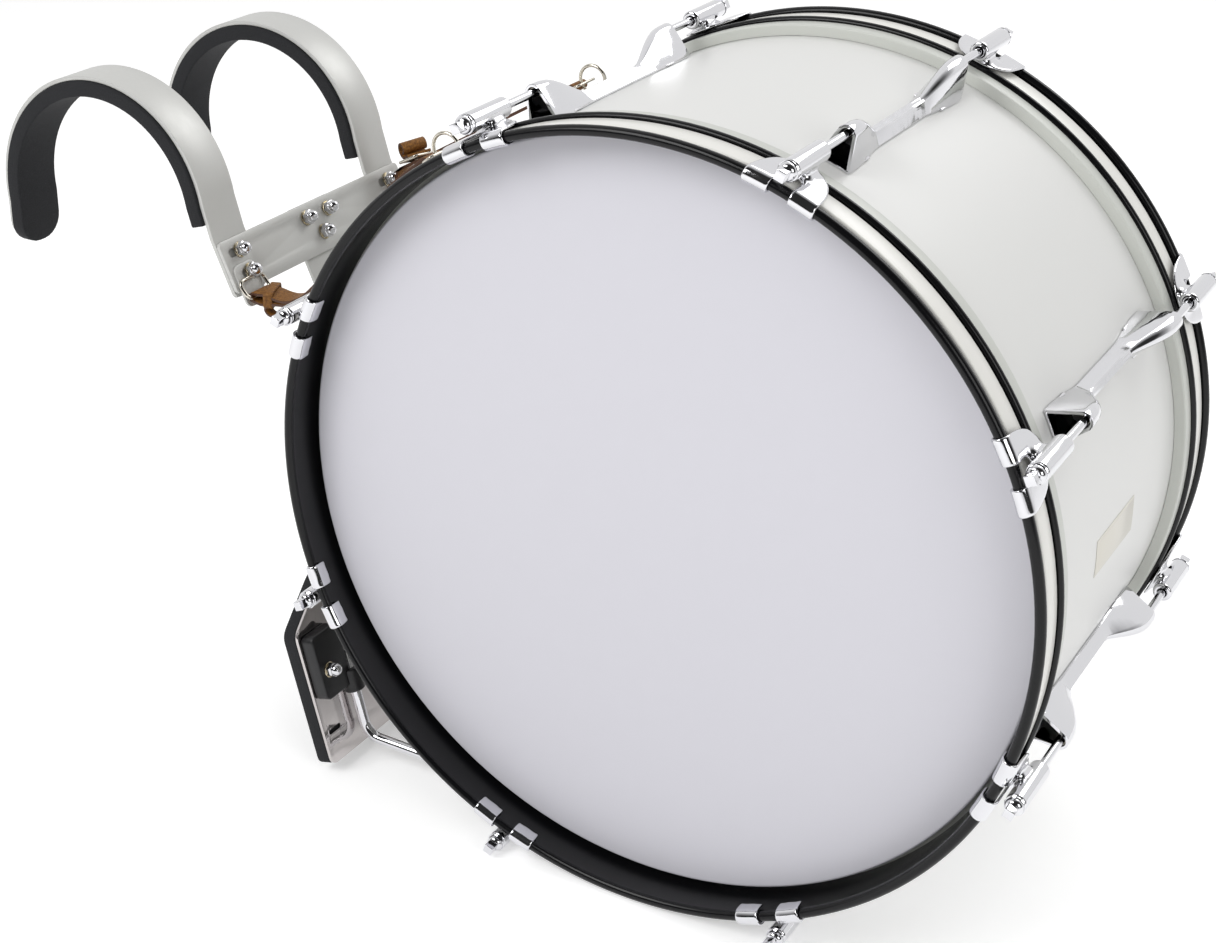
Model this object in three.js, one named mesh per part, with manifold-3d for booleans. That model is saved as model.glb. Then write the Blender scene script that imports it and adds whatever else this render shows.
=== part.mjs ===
// Marching bass drum with its shoulder carrier. Millimetres, +Z up.
// The drum's axis lies along Y, and the carrier hangs on the -X side, where the player stands.
import * as THREE from "three";
import { mergeVertices } from "three/addons/utils/BufferGeometryUtils.js";
import Module from "manifold-3d";

const wasm = await Module();
wasm.setup();

// Clearances
const seat = 0.3; // between pieces that touch
const weld = 0.001; // vertices closer than this are one
const overrun = 2; // how far a cutter reaches past the wall that it cuts

// Shell
const shellRadius = 279.5;
const shellDepth = 305;
const shellWall = 6.5;
const bearingEdge = 3.5; // inner chamfer of the rim that carries the head
const ringSegments = 64;

// Head: a film, a collar down the shell's outside and a flesh hoop
const filmThickness = 0.5;
const collarThickness = 0.7;
const fleshWidth = 8.2;
const fleshLength = 13.7;
const fleshDrop = 10.1; // from the rim to the flesh hoop's outer face

// Tension hoop: a web between two beads
const hoopLip = 3.8; // how far the web laps over the flesh hoop
const hoopWeb = 2.4;
const hoopLength = 33; // between the centres of the two beads
const noseBead = 3.75;
const backBead = 2.9;
const noseBeadOut = 3.3; // bead centre outside the web's inner face
const backBeadOut = 3.9;
const noseBeadSteps = 6;
const backBeadSteps = 3;

// Tension rod with its washer and square key head
const stations = 8;
const rodStandoff = 23; // rod axis outside the shell
const rodThickness = 6;
const rodSides = 8;
const washerWidth = 14.5;
const washerThickness = 1.5;
const keyWidth = 7.5;
const keyLength = 8.2;

// Claw that hooks over the tension hoop
const barrelWidth = 15;
const barrelLength = 51;
const barrelPast = 2.4; // barrel end past the nose bead's centre
const barrelSides = 8;
const clawWall = 2.6;
const clawWidth = 63;
const clawSlot = 18.5; // gap between the two hook bands
const clawSlotLength = 15.6; // how far that gap runs back from the nose bead's centre
const tongueLength = 8.6; // hook end inside the hoop, measured from the nose bead's centre
const neckWidth = 11;
const hookSteps = 4;
// Outline of half a claw's plate: share of the half width, share of the length from the back bead.
const clawShares = [
  [0.24, 0.09],
  [0.42, 0],
  [0.72, 0.02],
  [0.93, 0.15],
  [1, 0.34],
  [0.98, 0.53],
  [0.91, 0.7],
  [0.91, 1],
];

// Double-ended lug
const lugHalfLength = 103;
const lugMouthWidth = 34;
const lugWall = 2.2;
const lugRake = 8; // how far the foot of the mouth reaches past its crown
const lugFloor = 1.6;
const nutWidth = 11;
const nutLength = 10;
const nutInset = 9; // swivel nut's outer face behind the mouth's crown
// Stations along half a lug: share of its half length, of the mouth's width and of its height.
const lugShares = [
  [1, 1, 1],
  [0.84, 0.97, 1],
  [0.68, 0.82, 0.87],
  [0.54, 0.6, 0.6],
  [0.43, 0.43, 0.36],
];
// Arched section of the lug: share of the half width, share of the height.
const archShares = [
  [1, 0],
  [0.9, 0.5],
  [0.52, 0.88],
  [0, 1],
  [-0.52, 0.88],
  [-0.9, 0.5],
  [-1, 0],
];

// Carrier plates
const upperLean = THREE.MathUtils.degToRad(25);
const lowerLean = THREE.MathUtils.degToRad(16);
const crossbarGap = 116.5; // crossbar's top edge behind the shell's rearmost line
const crossbarTop = 119; // and above the drum's axis
const crossbarLength = 237;
const crossbarHeight = 42;
const plateThickness = 3.2;
const upperRow = 11; // bolt rows below the crossbar's top edge
const lowerRow = 29;
const slotLength = 25;
const slotWidth = 7;
const cornerRadius = 4;
const roundSteps = 3;

// Bolts with washers and acorn nuts
const studThickness = 6;
const boltWasherWidth = 12.5;
const boltWasherThickness = 1.2;
const acornWidth = 10.5;
const acornHeight = 11;
const acornHex = 5; // height of the nut's flats below its dome
const acornSides = 6;
const domeSteps = 2;

// Spine
const spineWidth = 56;
const spineBendDrop = 140; // bend below the crossbar's top edge
const spineFootInset = 31.5; // lower end above the belly plate's lower edge
const spineBoltSpacing = 28;
const spineLowerBolt = 27;

// Strap brackets under the lower bolts
const bracketWidth = 26;
const bracketThickness = 2;
const bracketTop = 21; // bracket's upper end below the crossbar's top edge
const bracketDrop = 22; // below the crossbar's lower edge
const bracketEyeWidth = 21;
const bracketEyeHeight = 6;
const bracketEyeInset = 4; // eye above the bracket's lower end

// Shoulder bars
const barWidth = 38;
const barThickness = 3.5;
const barSetIn = 0; // bar's outer edge inside the crossbar's end
const barTabHeight = 44.5;
const barTabRise = 4; // tab above the crossbar's top edge
const archBack = 116; // arch centre behind the crossbar's top edge
const archRise = 9;
const archRadius = 105;
const archFrontTurn = THREE.MathUtils.degToRad(10);
const archRearTurn = THREE.MathUtils.degToRad(188);
const archSteps = 18;
const barHeelDrop = 34; // straight stretch below the arch's rear end
const heelRound = 17; // corners of its rounded lower end
const padThickness = 12.5;
const padWidth = 43;
const padPast = 4; // pad's rear end below the bar's
const padLeadShare = 0.45; // pad's front end between the arch and the tab, as a share from the tab

// Belly plate and its pad
const bellyHalfWidth = 169.5;
const bellyPastArm = 9.3; // lower edge below the supports' arms, down the slope
const bellyHeight = 157;
const bellyThickness = 2.5;
const bellyCorner = 8;
const bellySlotLength = 15;
const bellySlotWidth = 4;
const bellySlotInset = 13; // slot's centre inside the plate's side edge
const bellyUpperSlot = 50; // slots below the plate's top edge
const bellyLowerSlot = 131;
// Half outline of the belly plate: share of the half width, share of the height from the top.
const bellyShares = [
  [1, 0.28],
  [0.763, 0.096],
  [0.615, 0],
];

// Supports that carry the drum
const supportThickness = 9;
const supportSides = 8;
const supportSpread = 131; // from the middle to each support
const supportOff = 9; // support's axis off the belly plate
const supportTop = 72; // upper end below the belly plate's top edge
const supportRise = 8.5; // arm's centre above the level of the shell's lowest line
const supportTip = 122; // arm's end behind the drum's axis
const elbowRadius = 16;
const elbowSteps = 5;
const clampWidth = 33;
const clampHeight = 54;
const clampThickness = 12;
const clampTop = 47; // clamp block below the belly plate's top edge
const clampInset = 2; // block's outer edge inside the belly plate's edge
const clampCorner = 5;
const collarHeight = 19;
const collarTop = 89; // collar below the belly plate's top edge
const collarSides = 12;

// Leather straps from the brackets up to eyes on the shell
const strapWidth = 20;
const strapThickness = 3.5;
const strapSpread = 103;
const eyeTurn = THREE.MathUtils.degToRad(130); // eyes round the shell, from +X towards +Z
const eyeStandoff = 18.5; // eye's centre outside the shell
const eyeWidth = 23;
const eyeWire = 2.6;
const eyeFootWidth = 14;
const eyeFootThickness = 2;
const eyeSteps = 12;
const wireSides = 5;
// Routes from bracket to eye: share along the span, share of it to the lower side.
const slackShares = [
  [0.084, 0.081],
  [0.183, 0.097],
  [0.292, 0.054],
  [0.487, 0.003],
  [0.755, -0.015],
];
const tautShares = [
  [0.085, -0.095],
  [0.163, -0.128],
  [0.6, -0.061],
];

// Derived places on the drum
const rim = shellDepth / 2;
const fleshRadius = shellRadius + seat + fleshWidth;
const fleshTop = rim - fleshDrop;
const hoopInner = fleshRadius - hoopLip;
const noseBeadRadius = hoopInner + noseBeadOut;
const backBeadRadius = hoopInner + backBeadOut;
const backBeadY = fleshTop + seat + backBead;
const noseBeadY = backBeadY + hoopLength;
const hoopRadius = noseBeadRadius + noseBead;
const rodRadius = shellRadius + rodStandoff;
const barrelEnd = noseBeadY + barrelPast;
const stationTurn = (2 * Math.PI) / stations;
// The drum stands on its hoops and on one pair of claws beside them.
const drumTurn = stationTurn / 2 - Math.acos((hoopRadius - barrelWidth / 2) / rodRadius);
const lugBase = shellRadius + seat;
const mouthHeight = rodRadius + nutWidth / 2 + lugWall / 2 - lugBase;
const nutOuter = lugHalfLength - lugRake - nutInset;

// Derived places on the carrier, seen from the side: x, then z
const supportDrop = shellRadius - supportRise;
const crossbarEdge = new THREE.Vector2(-shellRadius - crossbarGap, crossbarTop);
const bend = onSlope(crossbarEdge, upperLean, -plateThickness - seat, -spineBendDrop);
const bellyFace = -plateThickness - seat; // belly plate's face behind the spine's
const bellyFoot = (bend.y + supportDrop) / Math.cos(lowerLean) + bellyPastArm;
const bellyTopDrop = bellyFoot - bellyHeight; // top edge below the bend, down the slope
const spineFoot = bellyFoot - spineFootInset;

const materials = {
  chrome: finish(0xd9dadf, 0.12, 1),
  gloss: finish(0x121317, 0.22, 0),
  wrap: finish(0xe6e6e2, 0.25, 0),
  film: finish(0xdddce8, 0.45, 0),
  satin: finish(0xb9bab6, 0.42, 1),
  mirror: finish(0xc9c5c6, 0.08, 1),
  foam: finish(0x17181a, 0.9, 0),
  plastic: finish(0x101012, 0.4, 0),
  leather: finish(0x7d4a22, 0.6, 0),
};

function finish(color, roughness, metalness) {
  return new THREE.MeshStandardMaterial({ color, roughness, metalness });
}

// A closed geometry as a solid that can be joined and cut.
function solid(geometry) {
  const bare = geometry.index ? geometry.toNonIndexed() : geometry.clone();
  bare.deleteAttribute("normal");
  bare.deleteAttribute("uv");
  const merged = mergeVertices(bare, weld);
  return new wasm.Manifold(
    new wasm.Mesh({
      numProp: 3,
      vertProperties: merged.attributes.position.array,
      triVerts: new Uint32Array(merged.index.array),
    }),
  );
}

// A solid as a named mesh.
function piece(name, body, material) {
  const { vertProperties, triVerts } = body.getMesh();
  const geometry = new THREE.BufferGeometry();
  geometry.setAttribute("position", new THREE.BufferAttribute(vertProperties, 3));
  geometry.setIndex(new THREE.BufferAttribute(triVerts, 1));
  const faceted = geometry.toNonIndexed();
  faceted.computeVertexNormals();
  const mesh = new THREE.Mesh(faceted, material);
  mesh.name = name;
  return mesh;
}

// A profile of [radius, y] points, counter-clockwise, turned about the Y axis.
function turned(profile, segments, closed = true) {
  const points = profile.map(([r, y]) => new THREE.Vector2(r, y));
  if (closed) points.push(points[0].clone());
  return new THREE.LatheGeometry(points, segments);
}

// A stepped pin along +Y, given as [radius, y] corners from its start to its end.
function pin(corners, sides) {
  const [first, last] = [corners[0], corners[corners.length - 1]];
  return turned([[0, first[1]], ...corners, [0, last[1]]], sides, false);
}

// Points on an arc, from one angle to another.
function arc(x, y, radius, from, to, steps) {
  return Array.from({ length: steps + 1 }, (_, i) => {
    const angle = from + ((to - from) * i) / steps;
    return [x + radius * Math.cos(angle), y + radius * Math.sin(angle)];
  });
}

function outline(points) {
  return new THREE.Shape(points.map(([x, y]) => new THREE.Vector2(x, y)));
}

// A rectangle with round corners about a centre.
function roundedBox(x, y, width, height, radius) {
  const [across, up] = [width / 2 - radius, height / 2 - radius];
  const corner = (sx, sy, from) =>
    arc(x + sx * across, y + sy * up, radius, from, from + Math.PI / 2, roundSteps);
  return [
    ...corner(1, 1, 0),
    ...corner(-1, 1, Math.PI / 2),
    ...corner(-1, -1, Math.PI),
    ...corner(1, -1, -Math.PI / 2),
  ];
}

// An upright outline of [y, z] points, as thick as the distance between its two faces in x.
function plate(points, near, far, holes = []) {
  const shape = outline(points);
  shape.holes = holes.map(outline);
  const geometry = new THREE.ExtrudeGeometry(shape, { depth: far - near, bevelEnabled: false });
  const standing = new THREE.Matrix4().makeBasis(
    new THREE.Vector3(0, 1, 0),
    new THREE.Vector3(0, 0, 1),
    new THREE.Vector3(1, 0, 0),
  );
  return geometry.translate(0, 0, near).applyMatrix4(standing);
}

// A side outline of [x, z] points, as wide as stated and centred in y.
function sideSlab(points, width) {
  const geometry = new THREE.ExtrudeGeometry(outline(points), { depth: width, bevelEnabled: false });
  return geometry.translate(0, 0, -width / 2).rotateX(Math.PI / 2);
}

// A closed solid through rings of points; every ring has the same count and runs the same way.
function loft(rings) {
  const count = rings[0].length;
  const corners = rings.flat();
  const faces = [];
  for (let r = 0; r + 1 < rings.length; r++) {
    for (let i = 0; i < count; i++) {
      const a = r * count + i;
      const b = r * count + ((i + 1) % count);
      faces.push(a, b, b + count, a, b + count, a + count);
    }
  }
  const last = (rings.length - 1) * count;
  for (let i = 1; i + 1 < count; i++) {
    faces.push(0, i + 1, i);
    faces.push(last, last + i, last + i + 1);
  }
  const geometry = new THREE.BufferGeometry().setFromPoints(corners);
  geometry.setIndex(faces);
  return geometry;
}

// A round bar along points that lie in one XZ plane.
function bentBar(points, radius, sides) {
  const rings = points.map((point, i) => {
    const before = points[Math.max(i - 1, 0)];
    const after = points[Math.min(i + 1, points.length - 1)];
    const into = new THREE.Vector2().subVectors(point, before).normalize();
    const out = new THREE.Vector2().subVectors(after, point).normalize();
    const along = into.clone().add(out).normalize();
    const stretch = 1 / Math.max(along.dot(into), along.dot(out));
    return Array.from({ length: sides }, (_, s) => {
      const angle = (2 * Math.PI * s) / sides;
      const across = radius * stretch * Math.cos(angle);
      return new THREE.Vector3(
        point.x - along.y * across,
        -radius * Math.sin(angle),
        point.y + along.x * across,
      );
    });
  });
  return loft(rings);
}

// A path moved sideways to its left by a distance.
function beside(path, distance) {
  return path.map((point, i) => {
    const before = path[Math.max(i - 1, 0)];
    const after = path[Math.min(i + 1, path.length - 1)];
    const into = new THREE.Vector2().subVectors(point, before).normalize();
    const out = new THREE.Vector2().subVectors(after, point).normalize();
    const along = into.add(out).normalize();
    const reach = distance / Math.max(along.dot(out), along.dot(into.normalize()));
    return new THREE.Vector2(point.x - along.y * reach, point.y + along.x * reach);
  });
}

// The strip between two distances to the left of a path, as an outline.
function strip(path, near, far) {
  return [...beside(path, far), ...beside(path, near).reverse()].map((p) => [p.x, p.y]);
}

// A point off a leaning plate's face and up its slope, seen from the side.
function onSlope(origin, lean, off, up) {
  return new THREE.Vector2(
    origin.x + off * Math.cos(lean) - up * Math.sin(lean),
    origin.y + off * Math.sin(lean) + up * Math.cos(lean),
  );
}

// A group whose +X leaves a leaning plate's face and whose +Z climbs its slope.
function slope(origin, lean) {
  const group = new THREE.Group();
  group.position.set(origin.x, 0, origin.y);
  group.rotation.y = -lean;
  return group;
}

// A threaded stud with its washer and acorn nut, leaving a face along +X.
function bolt(start, face, y, z) {
  const hex = acornWidth / Math.sqrt(3);
  const washerTop = face + boltWasherThickness;
  const hexTop = washerTop + acornHex;
  const dome = arc(0, 0, 1, 0, Math.PI / 2, domeSteps).slice(1, -1);
  const crown = dome.map(([r, up]) => [hex * r, hexTop + (acornHeight - acornHex) * up]);
  const corners = [
    [studThickness / 2, start],
    [studThickness / 2, face],
    [boltWasherWidth / 2, face],
    [boltWasherWidth / 2, washerTop],
    [hex, washerTop],
    [hex, hexTop],
    ...crown,
  ];
  const top = hexTop + acornHeight - acornHex;
  const body = turned([[0, start], ...corners, [0, top]], acornSides, false);
  return solid(body.rotateZ(-Math.PI / 2).translate(0, y, z));
}

const slotOutline = (y, z) => roundedBox(y, z, slotLength, slotWidth, slotWidth / 2);
const boltHole = (y, z) => arc(y, z, slotWidth / 2, 0, 2 * Math.PI, 2 * roundSteps).slice(1);

// Drum
function shellBody() {
  const inner = shellRadius - shellWall;
  const profile = [
    [inner, bearingEdge - rim],
    [inner + bearingEdge, -rim],
    [shellRadius, -rim],
    [shellRadius, rim],
    [inner + bearingEdge, rim],
    [inner, rim - bearingEdge],
  ];
  return solid(turned(profile, ringSegments));
}

function headBody() {
  const collarInner = shellRadius + seat;
  const under = rim + seat;
  const over = under + filmThickness;
  const profile = [
    [0, under],
    [collarInner, under],
    [collarInner, fleshTop - fleshLength],
    [fleshRadius, fleshTop - fleshLength],
    [fleshRadius, fleshTop],
    [collarInner + collarThickness, fleshTop],
    [collarInner + collarThickness, over],
    [0, over],
  ];
  return solid(turned(profile, ringSegments, false));
}

function hoopBody() {
  const web = hoopInner + hoopWeb;
  const backEnd = Math.acos((web - backBeadRadius) / backBead);
  const noseStart = -Math.acos((web - noseBeadRadius) / noseBead);
  const noseEnd = 2 * Math.PI - Math.acos((hoopInner - noseBeadRadius) / noseBead);
  const profile = [
    [hoopInner, fleshTop + seat],
    ...arc(backBeadRadius, backBeadY, backBead, -Math.PI / 2, backEnd, backBeadSteps),
    ...arc(noseBeadRadius, noseBeadY, noseBead, noseStart, noseEnd, noseBeadSteps),
  ];
  return solid(turned(profile, ringSegments));
}

// Key rod along +Y at the origin's own axis, with its washer seated on the claw's barrel.
function rodBody() {
  const washerStart = barrelEnd + seat;
  const washerEnd = washerStart + washerThickness;
  const shank = pin(
    [
      [rodThickness / 2, nutOuter - nutLength - overrun],
      [rodThickness / 2, washerStart],
      [washerWidth / 2, washerStart],
      [washerWidth / 2, washerEnd],
    ],
    rodSides,
  );
  const key = pin(
    [
      [keyWidth / Math.SQRT2, washerEnd - washerThickness / 2],
      [keyWidth / Math.SQRT2, washerEnd + keyLength],
    ],
    4,
  );
  return solid(shank).add(solid(key.rotateY(Math.PI / 4)));
}

// Claw in its station's frame: +X away from the drum's axis, +Y along it.
function clawBody() {
  const overBead = noseBead + seat;
  const hookRadius = overBead + clawWall;
  const start = backBeadY - backBead;
  const nose = arc(noseBeadRadius, noseBeadY, hookRadius, 0, Math.PI, hookSteps);
  const throat = arc(noseBeadRadius, noseBeadY, overBead, Math.PI, 0, hookSteps);
  const tongueEnd = noseBeadY - tongueLength;
  const section = [
    [noseBeadRadius + hookRadius, start],
    ...nose,
    [noseBeadRadius - hookRadius, tongueEnd],
    [noseBeadRadius - overBead, tongueEnd],
    ...throat,
    [noseBeadRadius + overBead, start],
  ];
  const hook = turned(section, ringSegments);

  // Lobed outline with the gap between its two bands, cut straight through towards the axis.
  const end = noseBeadY + hookRadius + overrun;
  const half = clawShares.map(([w, l]) => [(clawWidth / 2) * w, start + (end - start) * l]);
  const mirrored = half.map(([w, l]) => [-w, l]).reverse();
  const slotStart = noseBeadY - clawSlotLength;
  const slot = [
    [-clawSlot / 2, end + overrun],
    ...arc(0, slotStart + clawSlot / 2, clawSlot / 2, Math.PI, 2 * Math.PI, roundSteps),
    [clawSlot / 2, end + overrun],
  ];
  const inward = noseBeadRadius - hookRadius - overrun;
  const outward = rodRadius;
  const flat = new THREE.Matrix4().makeBasis(
    new THREE.Vector3(0, 0, -1),
    new THREE.Vector3(0, 1, 0),
    new THREE.Vector3(1, 0, 0),
  );
  const prism = (points, low, high) =>
    solid(
      new THREE.ExtrudeGeometry(outline(points), { depth: high - low, bevelEnabled: false })
        .translate(0, 0, low)
        .applyMatrix4(flat),
    );
  const bands = solid(hook)
    .intersect(prism([...half, ...mirrored], inward, outward))
    .subtract(prism(slot, inward - overrun, outward + overrun));

  const barrel = pin(
    [
      [barrelWidth / 2, barrelEnd - barrelLength],
      [barrelWidth / 2, barrelEnd],
    ],
    barrelSides,
  ).translate(rodRadius, 0, 0);
  const bore = pin(
    [
      [rodThickness / 2 + seat, barrelEnd - barrelLength - overrun],
      [rodThickness / 2 + seat, barrelEnd + overrun],
    ],
    rodSides,
  ).translate(rodRadius, 0, 0);
  const neck = prism(
    [
      [-neckWidth / 2, start],
      [neckWidth / 2, start],
      [neckWidth / 2, noseBeadY],
      [-neckWidth / 2, noseBeadY],
    ],
    noseBeadRadius + overBead + clawWall / 2,
    rodRadius,
  );
  return bands.add(neck).add(solid(barrel)).subtract(solid(bore));
}

function archRing(y, halfWidth, height, base, rake) {
  return archShares.map(([w, h]) => new THREE.Vector3(base + height * h, y - rake * h, halfWidth * w));
}

// Lug in its station's frame, hollow behind each mouth, with a swivel nut in each hollow.
function lugBody() {
  const ring = ([l, w, h], side, wall, past) =>
    archRing(
      side * (lugHalfLength * l + past),
      (lugMouthWidth / 2) * w - wall,
      mouthHeight * h - (wall ? wall + lugFloor : 0),
      lugBase + (wall ? lugFloor : 0),
      l === 1 ? side * lugRake : 0,
    );
  const halfRings = lugShares.map((share) => ring(share, 1, 0, 0)).reverse();
  const otherRings = lugShares.map((share) => ring(share, -1, 0, 0));
  let body = solid(loft([...otherRings, ...halfRings]));
  for (const side of [-1, 1]) {
    const hollow = lugShares.slice(0, 3).map((share, i) => ring(share, side, lugWall, i ? 0 : overrun));
    body = body.subtract(solid(loft(side > 0 ? hollow.reverse() : hollow)));
    const nut = pin(
      [
        [nutWidth / 2, nutOuter - nutLength],
        [nutWidth / 2, nutOuter],
      ],
      rodSides,
    );
    const thread = pin(
      [
        [rodThickness / 2 + seat, nutOuter - nutLength - overrun],
        [rodThickness / 2 + seat, nutOuter + overrun],
      ],
      rodSides,
    );
    if (side < 0) {
      nut.rotateX(Math.PI);
      thread.rotateX(Math.PI);
    }
    body = body.add(solid(nut.translate(rodRadius, 0, 0)));
    body = body.subtract(solid(thread.translate(rodRadius, 0, 0)));
  }
  return body;
}

const part = new THREE.Group();
const drum = new THREE.Group();
drum.rotation.y = -drumTurn;
part.add(drum);
drum.add(piece("shell", shellBody(), materials.wrap));

const [head, hoop, claw, rod, lug] = [headBody(), hoopBody(), clawBody(), rodBody(), lugBody()];
for (const [side, turn] of [
  ["front", Math.PI],
  ["rear", 0],
]) {
  const end = new THREE.Group();
  end.rotation.z = turn;
  end.add(piece("head_" + side, head, materials.film));
  end.add(piece("hoop_" + side, hoop, materials.gloss));
  drum.add(end);
}
for (let k = 0; k < stations; k++) {
  const station = new THREE.Group();
  station.rotation.y = -stationTurn * (k + (stations - 2) / 4);
  station.add(piece("lug_" + k, lug, materials.chrome));
  for (const [side, turn] of [
    ["front", Math.PI],
    ["rear", 0],
  ]) {
    const end = new THREE.Group();
    end.rotation.x = turn;
    end.add(piece("claw_" + side + "_" + k, claw, materials.chrome));
    const screw = piece("key_rod_" + side + "_" + k, rod, materials.chrome);
    screw.position.x = rodRadius;
    end.add(screw);
    station.add(end);
  }
  drum.add(station);
}

// Crossbar with its slots, holes and strap brackets
const barCentre = crossbarLength / 2 - barSetIn - barWidth / 2;
const spineBolts = [
  [-spineBoltSpacing / 2, -upperRow],
  [spineBoltSpacing / 2, -upperRow],
  [0, -spineLowerBolt],
];
const upper = slope(crossbarEdge, upperLean);
part.add(upper);
const eyeCentre = bracketEyeInset + bracketEyeHeight / 2 - crossbarHeight - bracketDrop;

function crossbarBody() {
  const holes = [];
  for (const side of [-1, 1]) {
    holes.push(slotOutline(side * barCentre, -upperRow));
    holes.push(slotOutline(side * barCentre, -lowerRow));
  }
  holes.push(...spineBolts.map(([y, z]) => boltHole(y, z)));
  const face = roundedBox(0, -crossbarHeight / 2, crossbarLength, crossbarHeight, cornerRadius);
  let body = solid(plate(face, -plateThickness, 0));
  const bracketHeight = crossbarHeight + bracketDrop - bracketTop;
  for (const side of [-1, 1]) {
    const y = side * strapSpread;
    const z = -bracketTop - bracketHeight / 2;
    const tab = roundedBox(y, z, bracketWidth, bracketHeight, cornerRadius);
    holes.push(roundedBox(y, eyeCentre, bracketEyeWidth, bracketEyeHeight, bracketEyeHeight / 3));
    body = body.add(solid(plate(tab, -plateThickness / 2, bracketThickness)));
  }
  for (const hole of holes) {
    body = body.subtract(solid(plate(hole, -plateThickness - overrun, bracketThickness + overrun)));
  }
  return body;
}
upper.add(piece("crossbar", crossbarBody(), materials.satin));

// Spine: one bent plate behind the crossbar and before the belly plate
function spineBody() {
  const top = onSlope(crossbarEdge, upperLean, -plateThickness - seat, 0);
  const foot = onSlope(bend, lowerLean, 0, -spineFoot);
  let body = solid(sideSlab(strip([top, bend, foot], -plateThickness, 0), spineWidth));
  for (const [y, z] of spineBolts) {
    const stud = bolt(-plateThickness - seat - plateThickness / 2, seat, y, z);
    body = body.add(leaned(stud, crossbarEdge, upperLean));
  }
  return body;
}

// A solid from a leaning plate's frame, moved to the part's frame.
function leaned(body, origin, lean) {
  const turnedBody = body.rotate([0, -THREE.MathUtils.radToDeg(lean), 0]);
  return turnedBody.translate([origin.x, 0, origin.y]);
}
part.add(piece("spine", spineBody(), materials.satin));

// Shoulder bars: a hook over the shoulder, then a tab bolted through the crossbar's slots
const archCentre = new THREE.Vector2(crossbarEdge.x - archBack, crossbarEdge.y + archRise);
const barOff = -plateThickness - seat;
const tabPath = [-barTabHeight, barTabRise].map((up) => onSlope(crossbarEdge, upperLean, barOff, up));

function archPath(heelDrop) {
  const path = arc(archCentre.x, archCentre.y, archRadius, archFrontTurn, archRearTurn, archSteps);
  const points = path.map(([x, z]) => new THREE.Vector2(x, z));
  const heel = points[points.length - 1].clone();
  heel.y -= heelDrop;
  return [...points, heel];
}

// What is cut off round the heel of a hook, so that it ends in a rounded tongue.
function heelCutter(width, heelDrop) {
  const foot = archPath(heelDrop).pop();
  const tall = 2 * archRadius;
  const block = roundedBox(0, foot.y, 2 * width, tall, heelRound);
  const tongue = roundedBox(0, foot.y + archRadius, width, tall, heelRound);
  const [near, far] = [foot.x - archRadius, archCentre.x];
  return solid(plate(block, near, far)).subtract(solid(plate(tongue, near - overrun, far + overrun)));
}

function barBody(side) {
  const path = [...tabPath, ...archPath(barHeelDrop)];
  let body = solid(sideSlab(strip(path, 0, barThickness), barWidth));
  body = body.subtract(heelCutter(barWidth, barHeelDrop)).translate([0, side * barCentre, 0]);
  for (const row of [upperRow, lowerRow]) {
    const face = row === lowerRow ? bracketThickness + seat : seat;
    const stud = bolt(barOff - barThickness / 2, face, side * barCentre, -row);
    body = body.add(leaned(stud, crossbarEdge, upperLean));
  }
  return body;
}

function padBody(side) {
  const near = barThickness + seat;
  const arch = archPath(barHeelDrop + padPast);
  const lead = tabPath[1].clone().lerp(arch[0], padLeadShare);
  const body = solid(sideSlab(strip([lead, ...arch], near, near + padThickness), padWidth));
  return body.subtract(heelCutter(padWidth, barHeelDrop + padPast)).translate([0, side * barCentre, 0]);
}

// Belly plate and pad
const lower = slope(bend, lowerLean);
part.add(lower);

function bellyOutline() {
  const base = -bellyTopDrop - bellyHeight;
  const [cornerY, cornerZ] = [bellyHalfWidth - bellyCorner, base + bellyCorner];
  const right = bellyShares.map(([w, h]) => [bellyHalfWidth * w, -bellyTopDrop - bellyHeight * h]);
  const corner = arc(cornerY, cornerZ, bellyCorner, -Math.PI / 2, 0, roundSteps);
  const half = [...corner, ...right];
  return [...half, ...half.map(([y, z]) => [-y, z]).reverse()];
}

function bellyPlateBody() {
  const slots = [];
  for (const side of [-1, 1]) {
    for (const drop of [bellyUpperSlot, bellyLowerSlot]) {
      const y = side * (bellyHalfWidth - bellySlotInset);
      slots.push(
        roundedBox(y, -bellyTopDrop - drop, bellySlotLength, bellySlotWidth, bellySlotWidth / 2),
      );
    }
  }
  return solid(plate(bellyOutline(), bellyFace - bellyThickness, bellyFace, slots));
}

function bellyPadBody() {
  const face = bellyFace - bellyThickness - seat;
  return solid(plate(bellyOutline(), face - padThickness, face));
}
lower.add(piece("belly_plate", bellyPlateBody(), materials.mirror));
lower.add(piece("belly_pad", bellyPadBody(), materials.foam));

// Clamp block with its collar round the support
const supportAxis = bellyFace + supportOff;

function clampBody(side) {
  const outer = bellyHalfWidth - clampInset;
  const y = outer - clampWidth / 2;
  const z = -bellyTopDrop - clampTop - clampHeight / 2;
  const near = bellyFace + seat;
  const block = roundedBox(side * y, z, clampWidth, clampHeight, clampCorner);
  const collarRadius = supportOff - seat;
  const collarLow = -bellyTopDrop - collarTop - collarHeight;
  const upright = (radius, low, high, sides) =>
    solid(
      pin(
        [
          [radius, low],
          [radius, high],
        ],
        sides,
      )
        .rotateX(Math.PI / 2)
        .translate(supportAxis, side * supportSpread, 0),
    );
  const boreRadius = supportThickness / 2 + seat;
  return solid(plate(block, near, near + clampThickness))
    .add(upright(collarRadius, collarLow, collarLow + collarHeight, collarSides))
    .subtract(upright(boreRadius, collarLow - clampHeight, collarLow + 2 * clampHeight, supportSides));
}

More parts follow.
